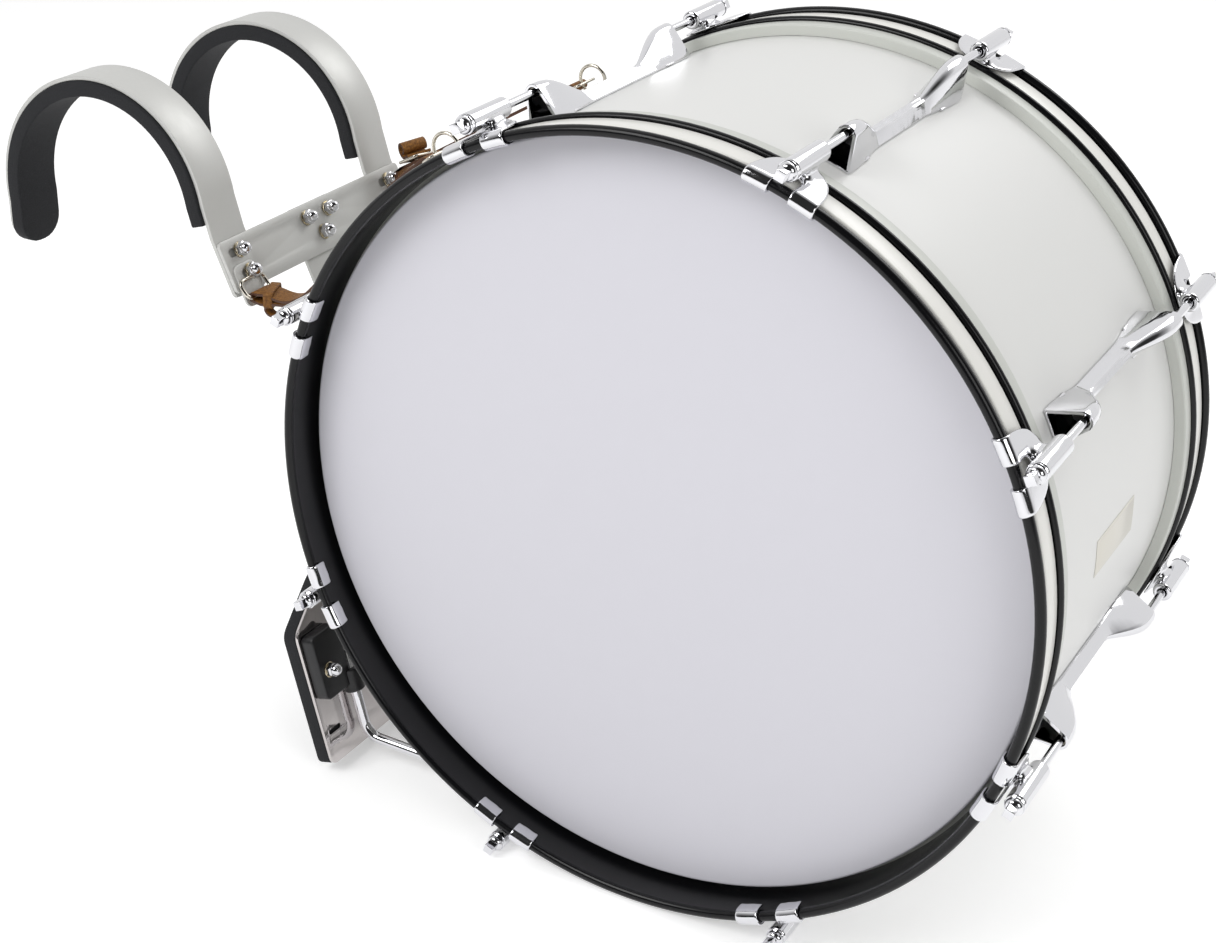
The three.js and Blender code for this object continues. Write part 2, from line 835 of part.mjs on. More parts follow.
// J-shaped support: down beside the belly plate, then forward under the drum
function supportBody() {
  const top = onSlope(bend, lowerLean, supportAxis, -bellyTopDrop - supportTop);
  const drop = (top.y + supportDrop) / Math.cos(lowerLean);
  const corner = onSlope(bend, lowerLean, supportAxis, -bellyTopDrop - supportTop - drop);
  const turn = Math.PI / 2 - lowerLean;
  const tangent = elbowRadius * Math.tan(turn / 2);
  const centre = new THREE.Vector2(corner.x + tangent, corner.y + elbowRadius);
  const elbow = arc(
    centre.x,
    centre.y,
    elbowRadius,
    Math.PI + lowerLean,
    (3 * Math.PI) / 2,
    elbowSteps,
  ).map(([x, z]) => new THREE.Vector2(x, z));
  const tip = new THREE.Vector2(-supportTip, corner.y);
  return solid(bentBar([top, ...elbow, tip], supportThickness / 2, supportSides));
}

// Strap through its bracket's eye, up to a wire eye that stands on the shell
function strapBody(shares) {
  const outward = new THREE.Vector2(Math.cos(drumTurn + eyeTurn), Math.sin(drumTurn + eyeTurn));
  const eye = outward.clone().multiplyScalar(shellRadius + eyeStandoff);
  const behind = onSlope(crossbarEdge, upperLean, -plateThickness, eyeCentre);
  const through = onSlope(crossbarEdge, upperLean, bracketThickness + strapThickness, eyeCentre);
  const span = new THREE.Vector2().subVectors(eye, through);
  const aside = new THREE.Vector2(span.y, -span.x);
  const route = shares.map(([along, down]) =>
    through.clone().addScaledVector(span, along).addScaledVector(aside, down),
  );
  const path = [behind, through, ...route, eye];
  const leather = sideSlab(strip(path, -strapThickness / 2, strapThickness / 2), strapWidth);

  const wireRadius = eyeWire / 2;
  const ringRadius = eyeWidth / 2 - wireRadius;
  const ring = new THREE.TorusGeometry(ringRadius, wireRadius, wireSides, eyeSteps);
  ring.rotateX(Math.PI / 2).translate(eye.x, 0, eye.y);
  const foot = pin(
    [
      [eyeFootWidth / 2, shellRadius + seat],
      [eyeFootWidth / 2, shellRadius + seat + eyeFootThickness],
      [eyeWire, shellRadius + seat + eyeFootThickness],
      [eyeWire, shellRadius + eyeStandoff - ringRadius],
    ],
    rodSides,
  );
  foot.rotateZ(-Math.PI / 2).rotateY(-drumTurn - eyeTurn);
  return solid(leather).add(solid(ring)).add(solid(foot));
}

for (const [name, side, shares] of [
  ["front", -1, slackShares],
  ["rear", 1, tautShares],
]) {
  part.add(piece("shoulder_bar_" + name, barBody(side), materials.satin));
  part.add(piece("shoulder_pad_" + name, padBody(side), materials.foam));
  lower.add(piece("clamp_" + name, clampBody(side), materials.plastic));
  const support = piece("support_" + name, supportBody(), materials.chrome);
  support.position.y = side * supportSpread;
  part.add(support);
  const strap = piece("strap_" + name, strapBody(shares), materials.leather);
  strap.position.y = side * strapSpread;
  part.add(strap);
}

// The origin is the middle of the base.
const group = new THREE.Group();
group.add(part);
group.updateMatrixWorld(true);
const bounds = new THREE.Box3().setFromObject(part, true);
const middle = bounds.getCenter(new THREE.Vector3());
part.position.set(-middle.x, -middle.y, -bounds.min.z);

export default group;
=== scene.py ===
import math

import bpy
from mathutils import Matrix, Vector


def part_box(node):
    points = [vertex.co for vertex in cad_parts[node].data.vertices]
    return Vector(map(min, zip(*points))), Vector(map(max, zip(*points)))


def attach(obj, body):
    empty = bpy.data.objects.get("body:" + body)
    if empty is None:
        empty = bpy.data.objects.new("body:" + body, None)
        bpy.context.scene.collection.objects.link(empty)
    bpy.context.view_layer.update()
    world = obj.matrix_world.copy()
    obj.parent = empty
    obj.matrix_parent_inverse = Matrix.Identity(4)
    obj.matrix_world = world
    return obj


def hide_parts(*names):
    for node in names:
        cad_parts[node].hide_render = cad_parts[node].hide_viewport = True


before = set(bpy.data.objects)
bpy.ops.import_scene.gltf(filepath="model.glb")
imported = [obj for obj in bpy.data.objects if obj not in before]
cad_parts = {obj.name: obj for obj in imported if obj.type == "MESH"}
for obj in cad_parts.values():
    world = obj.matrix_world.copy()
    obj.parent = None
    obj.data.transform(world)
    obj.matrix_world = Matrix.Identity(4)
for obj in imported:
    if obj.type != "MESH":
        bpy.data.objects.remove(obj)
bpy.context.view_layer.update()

MM = 0.001
GAP = 0.3 * MM  # between pieces that rest on each other

# Places that the frame gives
shell_low, shell_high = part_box("shell")
AXIS = (shell_low + shell_high) / 2
SHELL_RADIUS = (shell_high.z - shell_low.z) / 2
SHELL_HALF = shell_high.y - AXIS.y
HOOP_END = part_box("hoop_rear")[1].y - AXIS.y
head_low, head_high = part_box("head_rear")
FILM_FACE = head_high.y - AXIS.y
FLESH_START = head_low.y - AXIS.y
FLESH_RADIUS = (head_high.z - head_low.z) / 2
ROOT = "drum_and_carrier"
STATIONS = 8


# Camera, at the photograph's place, which is measured from the drum's middle
PHOTO = (1216, 943)
FOCAL_PX = 2120
PRINCIPAL = (517, 365)
VIEWPOINT = Vector((606.4, -1292.6, 686.3)) * MM
AZIMUTH, ELEVATION = math.radians(31.95), math.radians(23.66)
SENSOR = 36
FAR_CLIP = 50


def add_camera():
    bpy.ops.object.camera_add(
        location=AXIS + VIEWPOINT, rotation=(math.pi / 2 - ELEVATION, 0, AZIMUTH)
    )
    camera = bpy.context.object
    camera.data.sensor_width = SENSOR
    camera.data.lens = FOCAL_PX / PHOTO[0] * SENSOR
    camera.data.shift_x = (PHOTO[0] / 2 - PRINCIPAL[0]) / PHOTO[0]
    camera.data.shift_y = (PRINCIPAL[1] - PHOTO[1] / 2) / PHOTO[0]
    camera.data.clip_end = FAR_CLIP
    bpy.context.scene.camera = camera


add_camera()


# Materials
NOISE_LOW, NOISE_HIGH = 0.3, 0.7  # the span that most of a noise's values fill


def linear(code):
    """The linear colour of an sRGB hex value."""
    channels = [int(code[i:i + 2], 16) / 255 for i in (1, 3, 5)]
    return tuple(c / 12.92 if c <= 0.04045 else ((c + 0.055) / 1.055) ** 2.4 for c in channels) + (1,)


def add_node(material, kind, settings=(), links=()):
    """Adds a node; settings name its attributes or sockets, links tie a socket to another node's output."""
    node = material.node_tree.nodes.new(kind)
    for name, value in dict(settings).items():
        if isinstance(name, int) or name in node.inputs:
            node.inputs[name].default_value = value
        else:
            setattr(node, name, value)
    for name, output in dict(links).items():
        material.node_tree.links.new(output, node.inputs[name])
    return node


def new_material(name, colour, roughness, **settings):
    material = bpy.data.materials.new(name)
    material.use_nodes = True
    shader = material.node_tree.nodes["Principled BSDF"]
    shader.inputs["Base Color"].default_value = linear(colour)
    shader.inputs["Roughness"].default_value = roughness
    for key, value in settings.items():
        shader.inputs[key.replace("_", " ").title().replace("Ior", "IOR")].default_value = value
    return material, shader


def grain(material, shader, size, depth, stretch=(1, 1, 1), detail=3):
    """A fine uneven surface: lumps of that size and depth, in metres."""
    place = add_node(material, "ShaderNodeTexCoord")
    turned = add_node(
        material, "ShaderNodeMapping", {"Scale": stretch}, {"Vector": place.outputs["Object"]}
    )
    noise = add_node(
        material, "ShaderNodeTexNoise",
        {"Scale": 1 / size, "Detail": detail},
        {"Vector": turned.outputs["Vector"]},
    )
    bump = add_node(
        material, "ShaderNodeBump", {"Strength": 1, "Distance": depth}, {"Height": noise.outputs["Fac"]}
    )
    material.node_tree.links.new(bump.outputs["Normal"], shader.inputs["Normal"])
    return noise


def vary(material, shader, noise, socket, low, high):
    """Lets a socket wander between two values with a noise."""
    ramp = add_node(
        material, "ShaderNodeMapRange",
        {"From Min": NOISE_LOW, "From Max": NOISE_HIGH, "To Min": low, "To Max": high},
        {"Value": noise.outputs["Fac"]},
    )
    material.node_tree.links.new(ramp.outputs["Result"], shader.inputs[socket])


def tint(material, shader, noise, first, second):
    """Lets the base colour wander between two colours with a noise."""
    ramp = add_node(material, "ShaderNodeValToRGB", {}, {"Fac": noise.outputs["Fac"]})
    ramp.color_ramp.elements[0].position = NOISE_LOW
    ramp.color_ramp.elements[0].color = linear(first)
    ramp.color_ramp.elements[1].position = NOISE_HIGH
    ramp.color_ramp.elements[1].color = linear(second)
    material.node_tree.links.new(ramp.outputs["Color"], shader.inputs["Base Color"])


# Chrome plate on zinc castings: a hard mirror, with the casting's slow waves under it.
chrome, shader = new_material("chrome_plated_zinc", "#DADADD", 0.07, metallic=1)
noise = grain(chrome, shader, 12 * MM, 0.12 * MM, detail=1)
vary(chrome, shader, noise, "Roughness", 0.05, 0.1)

# Nickel plate on stamped steel: a little warmer and softer than chrome.
nickel, shader = new_material("nickel_plated_steel", "#D2CCC0", 0.16, metallic=1)
grain(nickel, shader, 2 * MM, 0.03 * MM)

# Zinc-plated bolts with a yellow passivated bloom.
zinc, shader = new_material("passivated_zinc_bolt", "#C9B98E", 0.24, metallic=1)
noise = grain(zinc, shader, 1.5 * MM, 0.03 * MM)
tint(zinc, shader, noise, "#BBA876", "#D4CDBE")

# Lacquered hoop: a deep black gloss with a faint orange peel.
lacquer, shader = new_material("black_lacquered_hoop", "#0B0B0D", 0.22, specular_ior_level=0.28)
grain(lacquer, shader, 3 * MM, 0.02 * MM)

# Inlay tape in the hoop's groove: glossy white plastic.
inlay_white, shader = new_material("white_inlay_tape", "#E4E3DE", 0.28)
grain(inlay_white, shader, 5 * MM, 0.02 * MM)

# Shell wrap: calendered white plastic sheet glued round the wood, glossy with slow waves.
wrap_white, shader = new_material("white_shell_wrap", "#DDDDDB", 0.34, specular_ior_level=0.4)
grain(wrap_white, shader, 40 * MM, 0.25 * MM, detail=2)

# Bare plywood inside the shell.
plywood, shader = new_material("maple_plywood", "#C9A777", 0.6)
grain(plywood, shader, 2 * MM, 0.1 * MM, stretch=(1, 0.08, 1))

# Coated polyester film: smooth white with a cool cast and a soft sheen.
film, shader = new_material("coated_polyester_film", "#D1D0D7", 0.45)
grain(film, shader, 1.2 * MM, 0.012 * MM)

# Flesh hoop at the head's edge: pale satin metal.
flesh, shader = new_material("pale_flesh_hoop", "#C6C8C2", 0.35)
grain(flesh, shader, 3 * MM, 0.02 * MM)

# Aluminium bar with a fine linished grain along its length: the scratches spread the light to a pale satin.
alloy, shader = new_material("linished_aluminium", "#C7C7C4", 0.42, metallic=0.3)
noise = grain(alloy, shader, 0.9 * MM, 0.02 * MM, stretch=(0.2, 1, 0.2), detail=5)
vary(alloy, shader, noise, "Roughness", 0.36, 0.5)

# Belly plate polished to a mirror.
mirror, shader = new_material("polished_aluminium_plate", "#C8C3C2", 0.09, metallic=1)
noise = grain(mirror, shader, 60 * MM, 0.4 * MM, detail=1)
vary(mirror, shader, noise, "Roughness", 0.06, 0.14)

# Closed-cell foam: matt black with its cut cells; the colour follows the bump's height, so painted shade
# darkens the cells' hollows.
foam, shader = new_material("closed_cell_foam", "#191A1D", 0.85)
noise = grain(foam, shader, 1.1 * MM, 0.3 * MM, detail=4)
# Painted shade: darker where the bump is low.
tint(foam, shader, noise, "#101114", "#1E1F23")

# Moulded glass-filled nylon block.
nylon, shader = new_material("moulded_black_nylon", "#0E0E11", 0.34)
grain(nylon, shader, 1.4 * MM, 0.05 * MM)

# Waxed harness leather with fine pores. Its colour follows the bump's height: painted shade darkens the
# hollows and a painted highlight lightens the ridges.
leather, shader = new_material("waxed_harness_leather", "#7A4A22", 0.55, specular_ior_level=0.3)
noise = grain(leather, shader, 1.6 * MM, 0.16 * MM, detail=6)
# Painted shade in the bump's hollows, painted highlight on its ridges.
tint(leather, shader, noise, "#5C3818", "#94662E")

# Cut edge of the leather, burnished darker.
leather_edge, shader = new_material("burnished_leather_edge", "#4A2913", 0.5)
grain(leather_edge, shader, 0.8 * MM, 0.1 * MM)

# Brushed foil of the bare badge.
foil, shader = new_material("brushed_foil", "#C9C6BD", 0.32, metallic=0.9)
grain(foil, shader, 0.8 * MM, 0.02 * MM, stretch=(1, 1, 0.15))


# Modelling helpers
RING_STEPS = 192
MERGE = 0.002 * MM
SAME_PLACE = 0.1 * MM


def deselect():
    if bpy.context.object and bpy.context.object.mode != "OBJECT":
        bpy.ops.object.mode_set(mode="OBJECT")
    bpy.ops.object.select_all(action="DESELECT")


def pick(obj):
    deselect()
    obj.select_set(True)
    bpy.context.view_layer.objects.active = obj


def edit(obj):
    """Edit mode on one object, with everything in it selected."""
    pick(obj)
    bpy.ops.object.mode_set(mode="EDIT")
    bpy.ops.mesh.select_all(action="SELECT")


def drawn(name, material, *loops, closed=True):
    """Loops of edges through points, or open lines, as a new object."""
    points, edges = [], []
    for loop in loops:
        first, count = len(points), len(loop)
        points += [tuple(p) for p in loop]
        edges += [(first + i, first + (i + 1) % count) for i in range(count if closed else count - 1)]
    mesh = bpy.data.meshes.new(name)
    mesh.from_pydata(points, edges, [])
    obj = bpy.data.objects.new(name, mesh)
    bpy.context.collection.objects.link(obj)
    if material:
        mesh.materials.append(material)
    return obj


def modify(obj, kind, **settings):
    """Adds a modifier and applies it."""
    modifier = obj.modifiers.new(kind.lower(), kind)
    for key, value in settings.items():
        setattr(modifier, key, value)
    pick(obj)
    bpy.ops.object.modifier_apply(modifier=modifier.name)
    return obj


def face_out(obj):
    """Merges points that share a place, and turns every face outwards."""
    edit(obj)
    bpy.ops.mesh.remove_doubles(threshold=MERGE)
    bpy.ops.mesh.normals_make_consistent(inside=False)
    bpy.ops.object.mode_set(mode="OBJECT")
    return obj


def smooth(obj, degrees=35):
    pick(obj)
    bpy.ops.object.shade_smooth_by_angle(angle=math.radians(degrees))
    return obj


def bevelled(obj, width, segments=2, above=40):
    """Rounds every edge that turns by more than an angle, then shades the piece."""
    modify(
        obj, "BEVEL", width=width, segments=segments, limit_method="ANGLE", angle_limit=math.radians(above)
    )
    return smooth(obj)


def join(name, *parts):
    pick(parts[0])
    for part in parts[1:]:
        part.select_set(True)
    bpy.ops.object.join()
    obj = bpy.context.object
    obj.name = obj.data.name = name
    return obj


def cut(obj, tool, operation="DIFFERENCE"):
    modify(obj, "BOOLEAN", operation=operation, object=tool, solver="EXACT")
    bpy.data.objects.remove(tool)
    return obj


def moved(obj, matrix):
    """Moves the mesh itself, so that the object stays at the origin."""
    obj.data.transform(matrix)
    return obj


def copied(obj, name, matrix=Matrix.Identity(4)):
    """A copy with a mesh of its own."""
    copy = bpy.data.objects.new(name, obj.data.copy())
    copy.data.name = name
    bpy.context.collection.objects.link(copy)
    return moved(copy, matrix)


def settle(obj, body, slot, *nodes):
    """Ties a finished piece to its body and hides the nodes that it stands for; the slot is not used."""
    obj.data.name = obj.name
    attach(obj, body)
    if nodes:
        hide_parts(*nodes)
    return obj


def arc(x, y, radius, start, end, steps):
    """Points (x, y) on an arc between two angles."""
    turns = [start + (end - start) * i / steps for i in range(steps + 1)]
    return [(x + radius * math.cos(t), y + radius * math.sin(t)) for t in turns]


def rounded_box(x, y, width, height, radius, steps=5):
    """Points (x, y) of a rectangle with round corners."""
    across, up = width / 2 - radius, height / 2 - radius
    points = []
    for i, (sx, sy) in enumerate(((1, 1), (-1, 1), (-1, -1), (1, -1))):
        start = i * math.pi / 2
        points += arc(x + sx * across, y + sy * up, radius, start, start + math.pi / 2, steps)
    return points


def about(point, matrix):
    """The same turn, made about a point."""
    return Matrix.Translation(point) @ matrix @ Matrix.Translation(-Vector(point))


def spun(name, material, profile, steps=RING_STEPS, closed=True, centre=AXIS, angle=2 * math.pi, start=0):
    """A profile of (radius, y) points spun round a line along Y through a centre."""
    centre = Vector(centre)
    line = [centre + Vector((r * math.cos(start), y, r * math.sin(start))) for r, y in profile]
    obj = drawn(name, material, line, closed=closed)
    edit(obj)
    bpy.ops.mesh.spin(steps=steps, angle=angle, center=centre, axis=(0, 1, 0))
    if angle < 2 * math.pi:
        bpy.ops.mesh.select_all(action="SELECT")
        bpy.ops.mesh.fill_holes(sides=0)
    return face_out(obj)


def slab(name, material, depth, *loops, bevel=0, segments=2):
    """A flat outline, with any further loops as holes, drawn out by a depth."""
    obj = drawn(name, material, *loops)
    edit(obj)
    if len(loops) == 1:
        bpy.ops.mesh.edge_face_add()
    else:
        bpy.ops.mesh.fill()
    bpy.ops.mesh.extrude_region_move(TRANSFORM_OT_translate={"value": depth})
    face_out(obj)
    return bevelled(obj, bevel, segments) if bevel else obj


def round_corners(obj, radius, *corners):
    """Rounds the corners of a sheet that lie at these points."""
    edit(obj)
    bpy.ops.mesh.select_mode(type="VERT")
    bpy.ops.mesh.select_all(action="DESELECT")
    bpy.ops.object.mode_set(mode="OBJECT")
    for vertex in obj.data.vertices:
        vertex.select = any((vertex.co - Vector(c)).length < SAME_PLACE for c in corners)
    bpy.ops.object.mode_set(mode="EDIT")
    bpy.ops.mesh.bevel(offset=radius, segments=6, affect="VERTICES")
    bpy.ops.object.mode_set(mode="OBJECT")


def ribbon(name, material, path, width, thickness, ends=(0, 0), bevel=0.4 * MM, segments=2):
    """A line of points seen from the side, drawn out across by a width and given a thickness."""
    near = [Vector(p) - Vector((0, width / 2, 0)) for p in path]
    obj = drawn(name, material, near, closed=False)
    edit(obj)
    bpy.ops.mesh.extrude_region_move(TRANSFORM_OT_translate={"value": (0, width, 0)})
    bpy.ops.object.mode_set(mode="OBJECT")
    for point, radius in zip((near[0], near[-1]), ends):
        if radius:
            round_corners(obj, radius, point, point + Vector((0, width, 0)))
    face_out(obj)
    modify(obj, "SOLIDIFY", thickness=thickness, offset=0, use_even_offset=True)
    return bevelled(obj, bevel, segments, above=50)


def bridged(name, material, rings, closed=True):
    """A skin through rings or lines of points."""
    obj = drawn(name, material, *rings, closed=closed)
    edit(obj)
    bpy.ops.mesh.bridge_edge_loops()
    return face_out(obj)


def flowing(points, steps):
    """A smooth line through points."""
    ends = [points[0] * 2 - points[1], *points, points[-1] * 2 - points[-2]]
    line = []
    for a, b, c, d in zip(ends, ends[1:], ends[2:], ends[3:]):
        square = a * 2 - b * 5 + c * 4 - d
        cube = b * 3 - a - c * 3 + d
        for i in range(steps):
            t = i / steps
            line.append((b * 2 + (c - a) * t + square * t ** 2 + cube * t ** 3) / 2)
    return line + [points[-1]]


# Shell: wrapped outside, bare wood inside, the rims cut to bearing edges
WALL = 6.5 * MM
EDGE = 3.5 * MM
RIM_ROUND = 0.8 * MM


def make_shell():
    half, outer, inner = SHELL_HALF, SHELL_RADIUS, SHELL_RADIUS - WALL
    profile = [
        (inner, EDGE - half),
        (inner + EDGE, -half),
        (outer - RIM_ROUND, -half),
        (outer, RIM_ROUND - half),
        (outer, half - RIM_ROUND),
        (outer - RIM_ROUND, half),
        (inner + EDGE, half),
        (inner, half - EDGE),
    ]
    shell = spun("shell_wrapped", wrap_white, profile)
    shell.data.materials.append(plywood)
    for face in shell.data.polygons:
        offset = face.center - AXIS
        if math.hypot(offset.x, offset.z) < outer - RIM_ROUND:
            face.material_index = 1
    settle(smooth(shell), ROOT, "shell_wrap", "shell")


make_shell()


# Both ends of the drum are alike: a piece of the rear end, turned over, is the front one.
OVER = about(AXIS, Matrix.Rotation(math.pi, 4, "Z"))


def pair(obj, name, slot, node=None):
    """Settles a piece of the rear end, and its copy at the front end."""
    front = copied(obj, name.replace("SIDE", "front"), OVER)
    for side, piece in (("rear", obj), ("front", front)):
        settle(piece, ROOT, slot, *([node.replace("SIDE", side)] if node else []))


# Heads: film over the rim, collar down the shell, flesh hoop under the tension hoop
COLLAR = SHELL_RADIUS + GAP
COLLAR_WALL = 0.7 * MM
FILM_WALL = 0.5 * MM
FILM_BEND = 2.5 * MM
FLESH_WIDTH = 13.7 * MM
FLESH_TOP = FLESH_START + FLESH_WIDTH


def make_heads():
    outer = COLLAR + COLLAR_WALL
    over = arc(outer - FILM_BEND, FILM_FACE - FILM_BEND, FILM_BEND, math.pi / 2, 0, 6)
    under = arc(outer - FILM_BEND, FILM_FACE - FILM_BEND, FILM_BEND - FILM_WALL, 0, math.pi / 2, 6)
    profile = [(0, FILM_FACE), *over, (outer, FLESH_TOP)]
    profile += [(outer - FILM_WALL, FLESH_TOP), *under, (0, FILM_FACE - FILM_WALL)]
    skin = spun("head_rear_film", film, profile, closed=False)
    pair(smooth(skin, 50), "head_SIDE_film", "head_film", "head_SIDE")

    edge = 1.2 * MM
    profile = [
        *arc(FLESH_RADIUS - edge, FLESH_START + edge, edge, -math.pi / 2, 0, 4),
        *arc(FLESH_RADIUS - edge, FLESH_TOP - edge, edge, 0, math.pi / 2, 4),
        (COLLAR, FLESH_TOP),
        (COLLAR, FLESH_START),
    ]
    ring = spun("head_rear_flesh_hoop", flesh, profile)
    pair(smooth(ring), "head_SIDE_flesh_hoop", "head_film", "head_SIDE")


make_heads()


# Tension hoops: web between two beads, with the white inlay in the groove
BACK_BEAD, NOSE_BEAD = 2.9 * MM, 3.75 * MM
BEADS_APART = 33 * MM
NOSE_Y = HOOP_END - NOSE_BEAD
BACK_Y = NOSE_Y - BEADS_APART
HOOP_LAP = 3.8 * MM
HOOP_INNER = FLESH_RADIUS - HOOP_LAP
NOSE_RISE, BACK_RISE = 3.3 * MM, 3.9 * MM
NOSE_RADIUS = HOOP_INNER + NOSE_RISE
BACK_RADIUS = HOOP_INNER + BACK_RISE
WEB_WALL = 2.4 * MM
INLAY_FROM_BACK, INLAY_FROM_NOSE = 5 * MM, 9.4 * MM
INLAY_LIFT = 0.02 * MM


def make_hoops():
    web = HOOP_INNER + WEB_WALL
    back_end = math.acos((web - BACK_RADIUS) / BACK_BEAD)
    nose_start = -math.acos((web - NOSE_RADIUS) / NOSE_BEAD)
    nose_end = 2 * math.pi - math.acos((HOOP_INNER - NOSE_RADIUS) / NOSE_BEAD)
    profile = [
        (HOOP_INNER, BACK_Y - BACK_BEAD),
        *arc(BACK_RADIUS, BACK_Y, BACK_BEAD, -math.pi / 2, back_end, 12),
        *arc(NOSE_RADIUS, NOSE_Y, NOSE_BEAD, nose_start, nose_end, 20),
    ]
    hoop = spun("hoop_rear_lacquered", lacquer, profile)
    pair(smooth(hoop), "hoop_SIDE_lacquered", "hoop_lacquer", "hoop_SIDE")

    start, end, foot = BACK_Y + INLAY_FROM_BACK, NOSE_Y - INLAY_FROM_NOSE, web + INLAY_LIFT
    edge = 1.2 * MM
    profile = [
        (foot, start),
        *arc(foot + edge / 2, start + edge, edge, -math.pi / 2, 0, 3),
        *arc(foot + edge / 2, end - edge, edge, 0, math.pi / 2, 3),
        (foot, end),
    ]
    inlay = spun("hoop_rear_inlay", inlay_white, profile)
    pair(smooth(inlay, 60), "hoop_SIDE_inlay", "head_film")


make_hoops()


# Stations round the drum. Their pieces are modelled once, on the +X side and at the rear end.
rod_low, rod_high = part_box("key_rod_rear_0")
ROD_RADIUS = math.hypot((rod_low.x + rod_high.x) / 2 - AXIS.x, (rod_low.z + rod_high.z) / 2 - AXIS.z)
ROD_TURN = math.atan2((rod_low.z + rod_high.z) / 2 - AXIS.z, (rod_low.x + rod_high.x) / 2 - AXIS.x)
ROD_PLACE = AXIS + Vector((ROD_RADIUS, 0, 0))


def station(k, side="rear"):
    """The move from the modelling place to a station's own place."""
    turn = Matrix.Rotation(-ROD_TURN - 2 * math.pi * k / STATIONS, 4, "Y")
    over = Matrix.Rotation(math.pi if side == "front" else 0, 4, "X")
    return about(AXIS, turn @ over)


def place_ends(model, name, body, slot, node):
    """Sixteen copies of a model, one for each rod."""
    for side in ("front", "rear"):
        for k in range(STATIONS):
            mark = "%s_%d" % (side, k)
            copy = copied(model, name + mark, station(k, side))
            settle(copy, body.replace("MARK", mark), slot, node + mark)
    bpy.data.objects.remove(model)


# Claw: two hook bands under round ears, and the barrel that takes the rod
CLAW_WALL = 2.1 * MM
HOOK = NOSE_BEAD + GAP + CLAW_WALL
CLAW_BACK = BACK_Y - BACK_BEAD
CLAW_HALF = 26 * MM
CLAW_TONGUE = 7 * MM
OVERRUN = 4 * MM
CLAW_EDGE = (  # half width and distance from the back end, in millimetres
    (6, 0), (10.5, 1.9), (15, 5.4), (19, 10), (21.8, 15), (24.2, 22.5), (25.5, 31), (26, 38), (26, 46),
)
SLOT_HALF = 7.7 * MM
SLOT_LENGTH = 15 * MM
BARREL_HALF, BARREL_BORE, BARREL_ROUND = 7.2 * MM, 3.6 * MM, 1.6 * MM
BARREL_LENGTH = 46.5 * MM
BARREL_PROUD = 2.4 * MM
BARREL_END = NOSE_Y + BARREL_PROUD
CAST_COARSE, CAST_FINE = 0.7 * MM, 0.6 * MM
NECK_START, NECK_HALF, NECK_CORNER = CLAW_BACK + 1 * MM, 9.5 * MM, 6 * MM
NECK = (  # share of the way up to the rod, width and length, in millimetres
    (-0.05, 27, 19), (0.08, 22, 18), (0.25, 18, 18), (0.5, 15, 19), (0.8, 13.6, 21), (1.2, 12.6, 23),
)


def claw_outline():
    half = flowing([Vector((z * MM, CLAW_BACK + y * MM, 0)) for z, y in CLAW_EDGE], 4)
    half = [(p.x, p.y) for p in half]
    return half + [(-z, y) for z, y in reversed(half)]


def slot_outline():
    end = NOSE_Y + HOOK + OVERRUN
    start = NOSE_Y - SLOT_LENGTH
    round_end = arc(0, start + SLOT_HALF, SLOT_HALF, math.pi, 2 * math.pi, 12)
    return [(-SLOT_HALF, end), *round_end, (SLOT_HALF, end)]


def outward(points, radius):
    """Points (z, y) on the modelling station, at a distance from the drum's axis."""
    return [AXIS + Vector((radius, y, z)) for z, y in points]


def make_claws():
    over = NOSE_BEAD + GAP
    tongue = NOSE_Y - CLAW_TONGUE
    section = [
        (NOSE_RADIUS + HOOK, CLAW_BACK),
        *arc(NOSE_RADIUS, NOSE_Y, HOOK, 0, math.pi, 16),
        (NOSE_RADIUS - HOOK, tongue),
        (NOSE_RADIUS - over, tongue),
        *arc(NOSE_RADIUS, NOSE_Y, over, math.pi, 0, 16),
        (NOSE_RADIUS + over, CLAW_BACK),
    ]
    reach = math.asin(CLAW_HALF / NOSE_RADIUS) * 1.1
    claw = spun("claw", chrome, section, steps=36, angle=2 * reach, start=-reach)
    low = NOSE_RADIUS - HOOK - OVERRUN
    depth = (ROD_RADIUS - low, 0, 0)
    cut(claw, slab("claw_outline", None, depth, outward(claw_outline(), low)), "INTERSECT")

    back = BARREL_END - BARREL_LENGTH
    side = BARREL_HALF - BARREL_ROUND
    profile = [
        (BARREL_BORE, back),
        *arc(side, back + BARREL_ROUND, BARREL_ROUND, -math.pi / 2, 0, 4),
        *arc(side, BARREL_END - BARREL_ROUND, BARREL_ROUND, 0, math.pi / 2, 4),
        (BARREL_BORE, BARREL_END),
    ]
    barrel = spun("claw_barrel", chrome, profile, steps=40, centre=ROD_PLACE)
    foot = NOSE_RADIUS + HOOK
    rise = ROD_RADIUS - BARREL_HALF * 0.5 - foot
    rings = []
    for share, width, length in NECK:
        ring = rounded_box(0, NECK_START + NECK_HALF, width * MM, length * MM, NECK_CORNER)
        rings.append(outward(ring, foot + rise * share))
    neck = bridged("claw_neck", chrome, rings)
    edit(neck)
    bpy.ops.mesh.fill_holes(sides=0)
    face_out(neck)
    claw = join("claw", claw, neck)
    modify(claw, "REMESH", mode="VOXEL", voxel_size=CAST_COARSE)
    modify(claw, "SMOOTH", factor=0.5, iterations=8)
    cut(claw, slab("claw_slot", None, depth, outward(slot_outline(), low)))
    claw = join("claw", claw, barrel)
    modify(claw, "REMESH", mode="VOXEL", voxel_size=CAST_FINE)
    modify(claw, "SMOOTH", factor=0.5, iterations=5)
    modify(claw, "DECIMATE", ratio=0.3)
    smooth(claw, 70)
    place_ends(claw, "claw_cast_", ROOT, "chrome", "claw_")


make_claws()


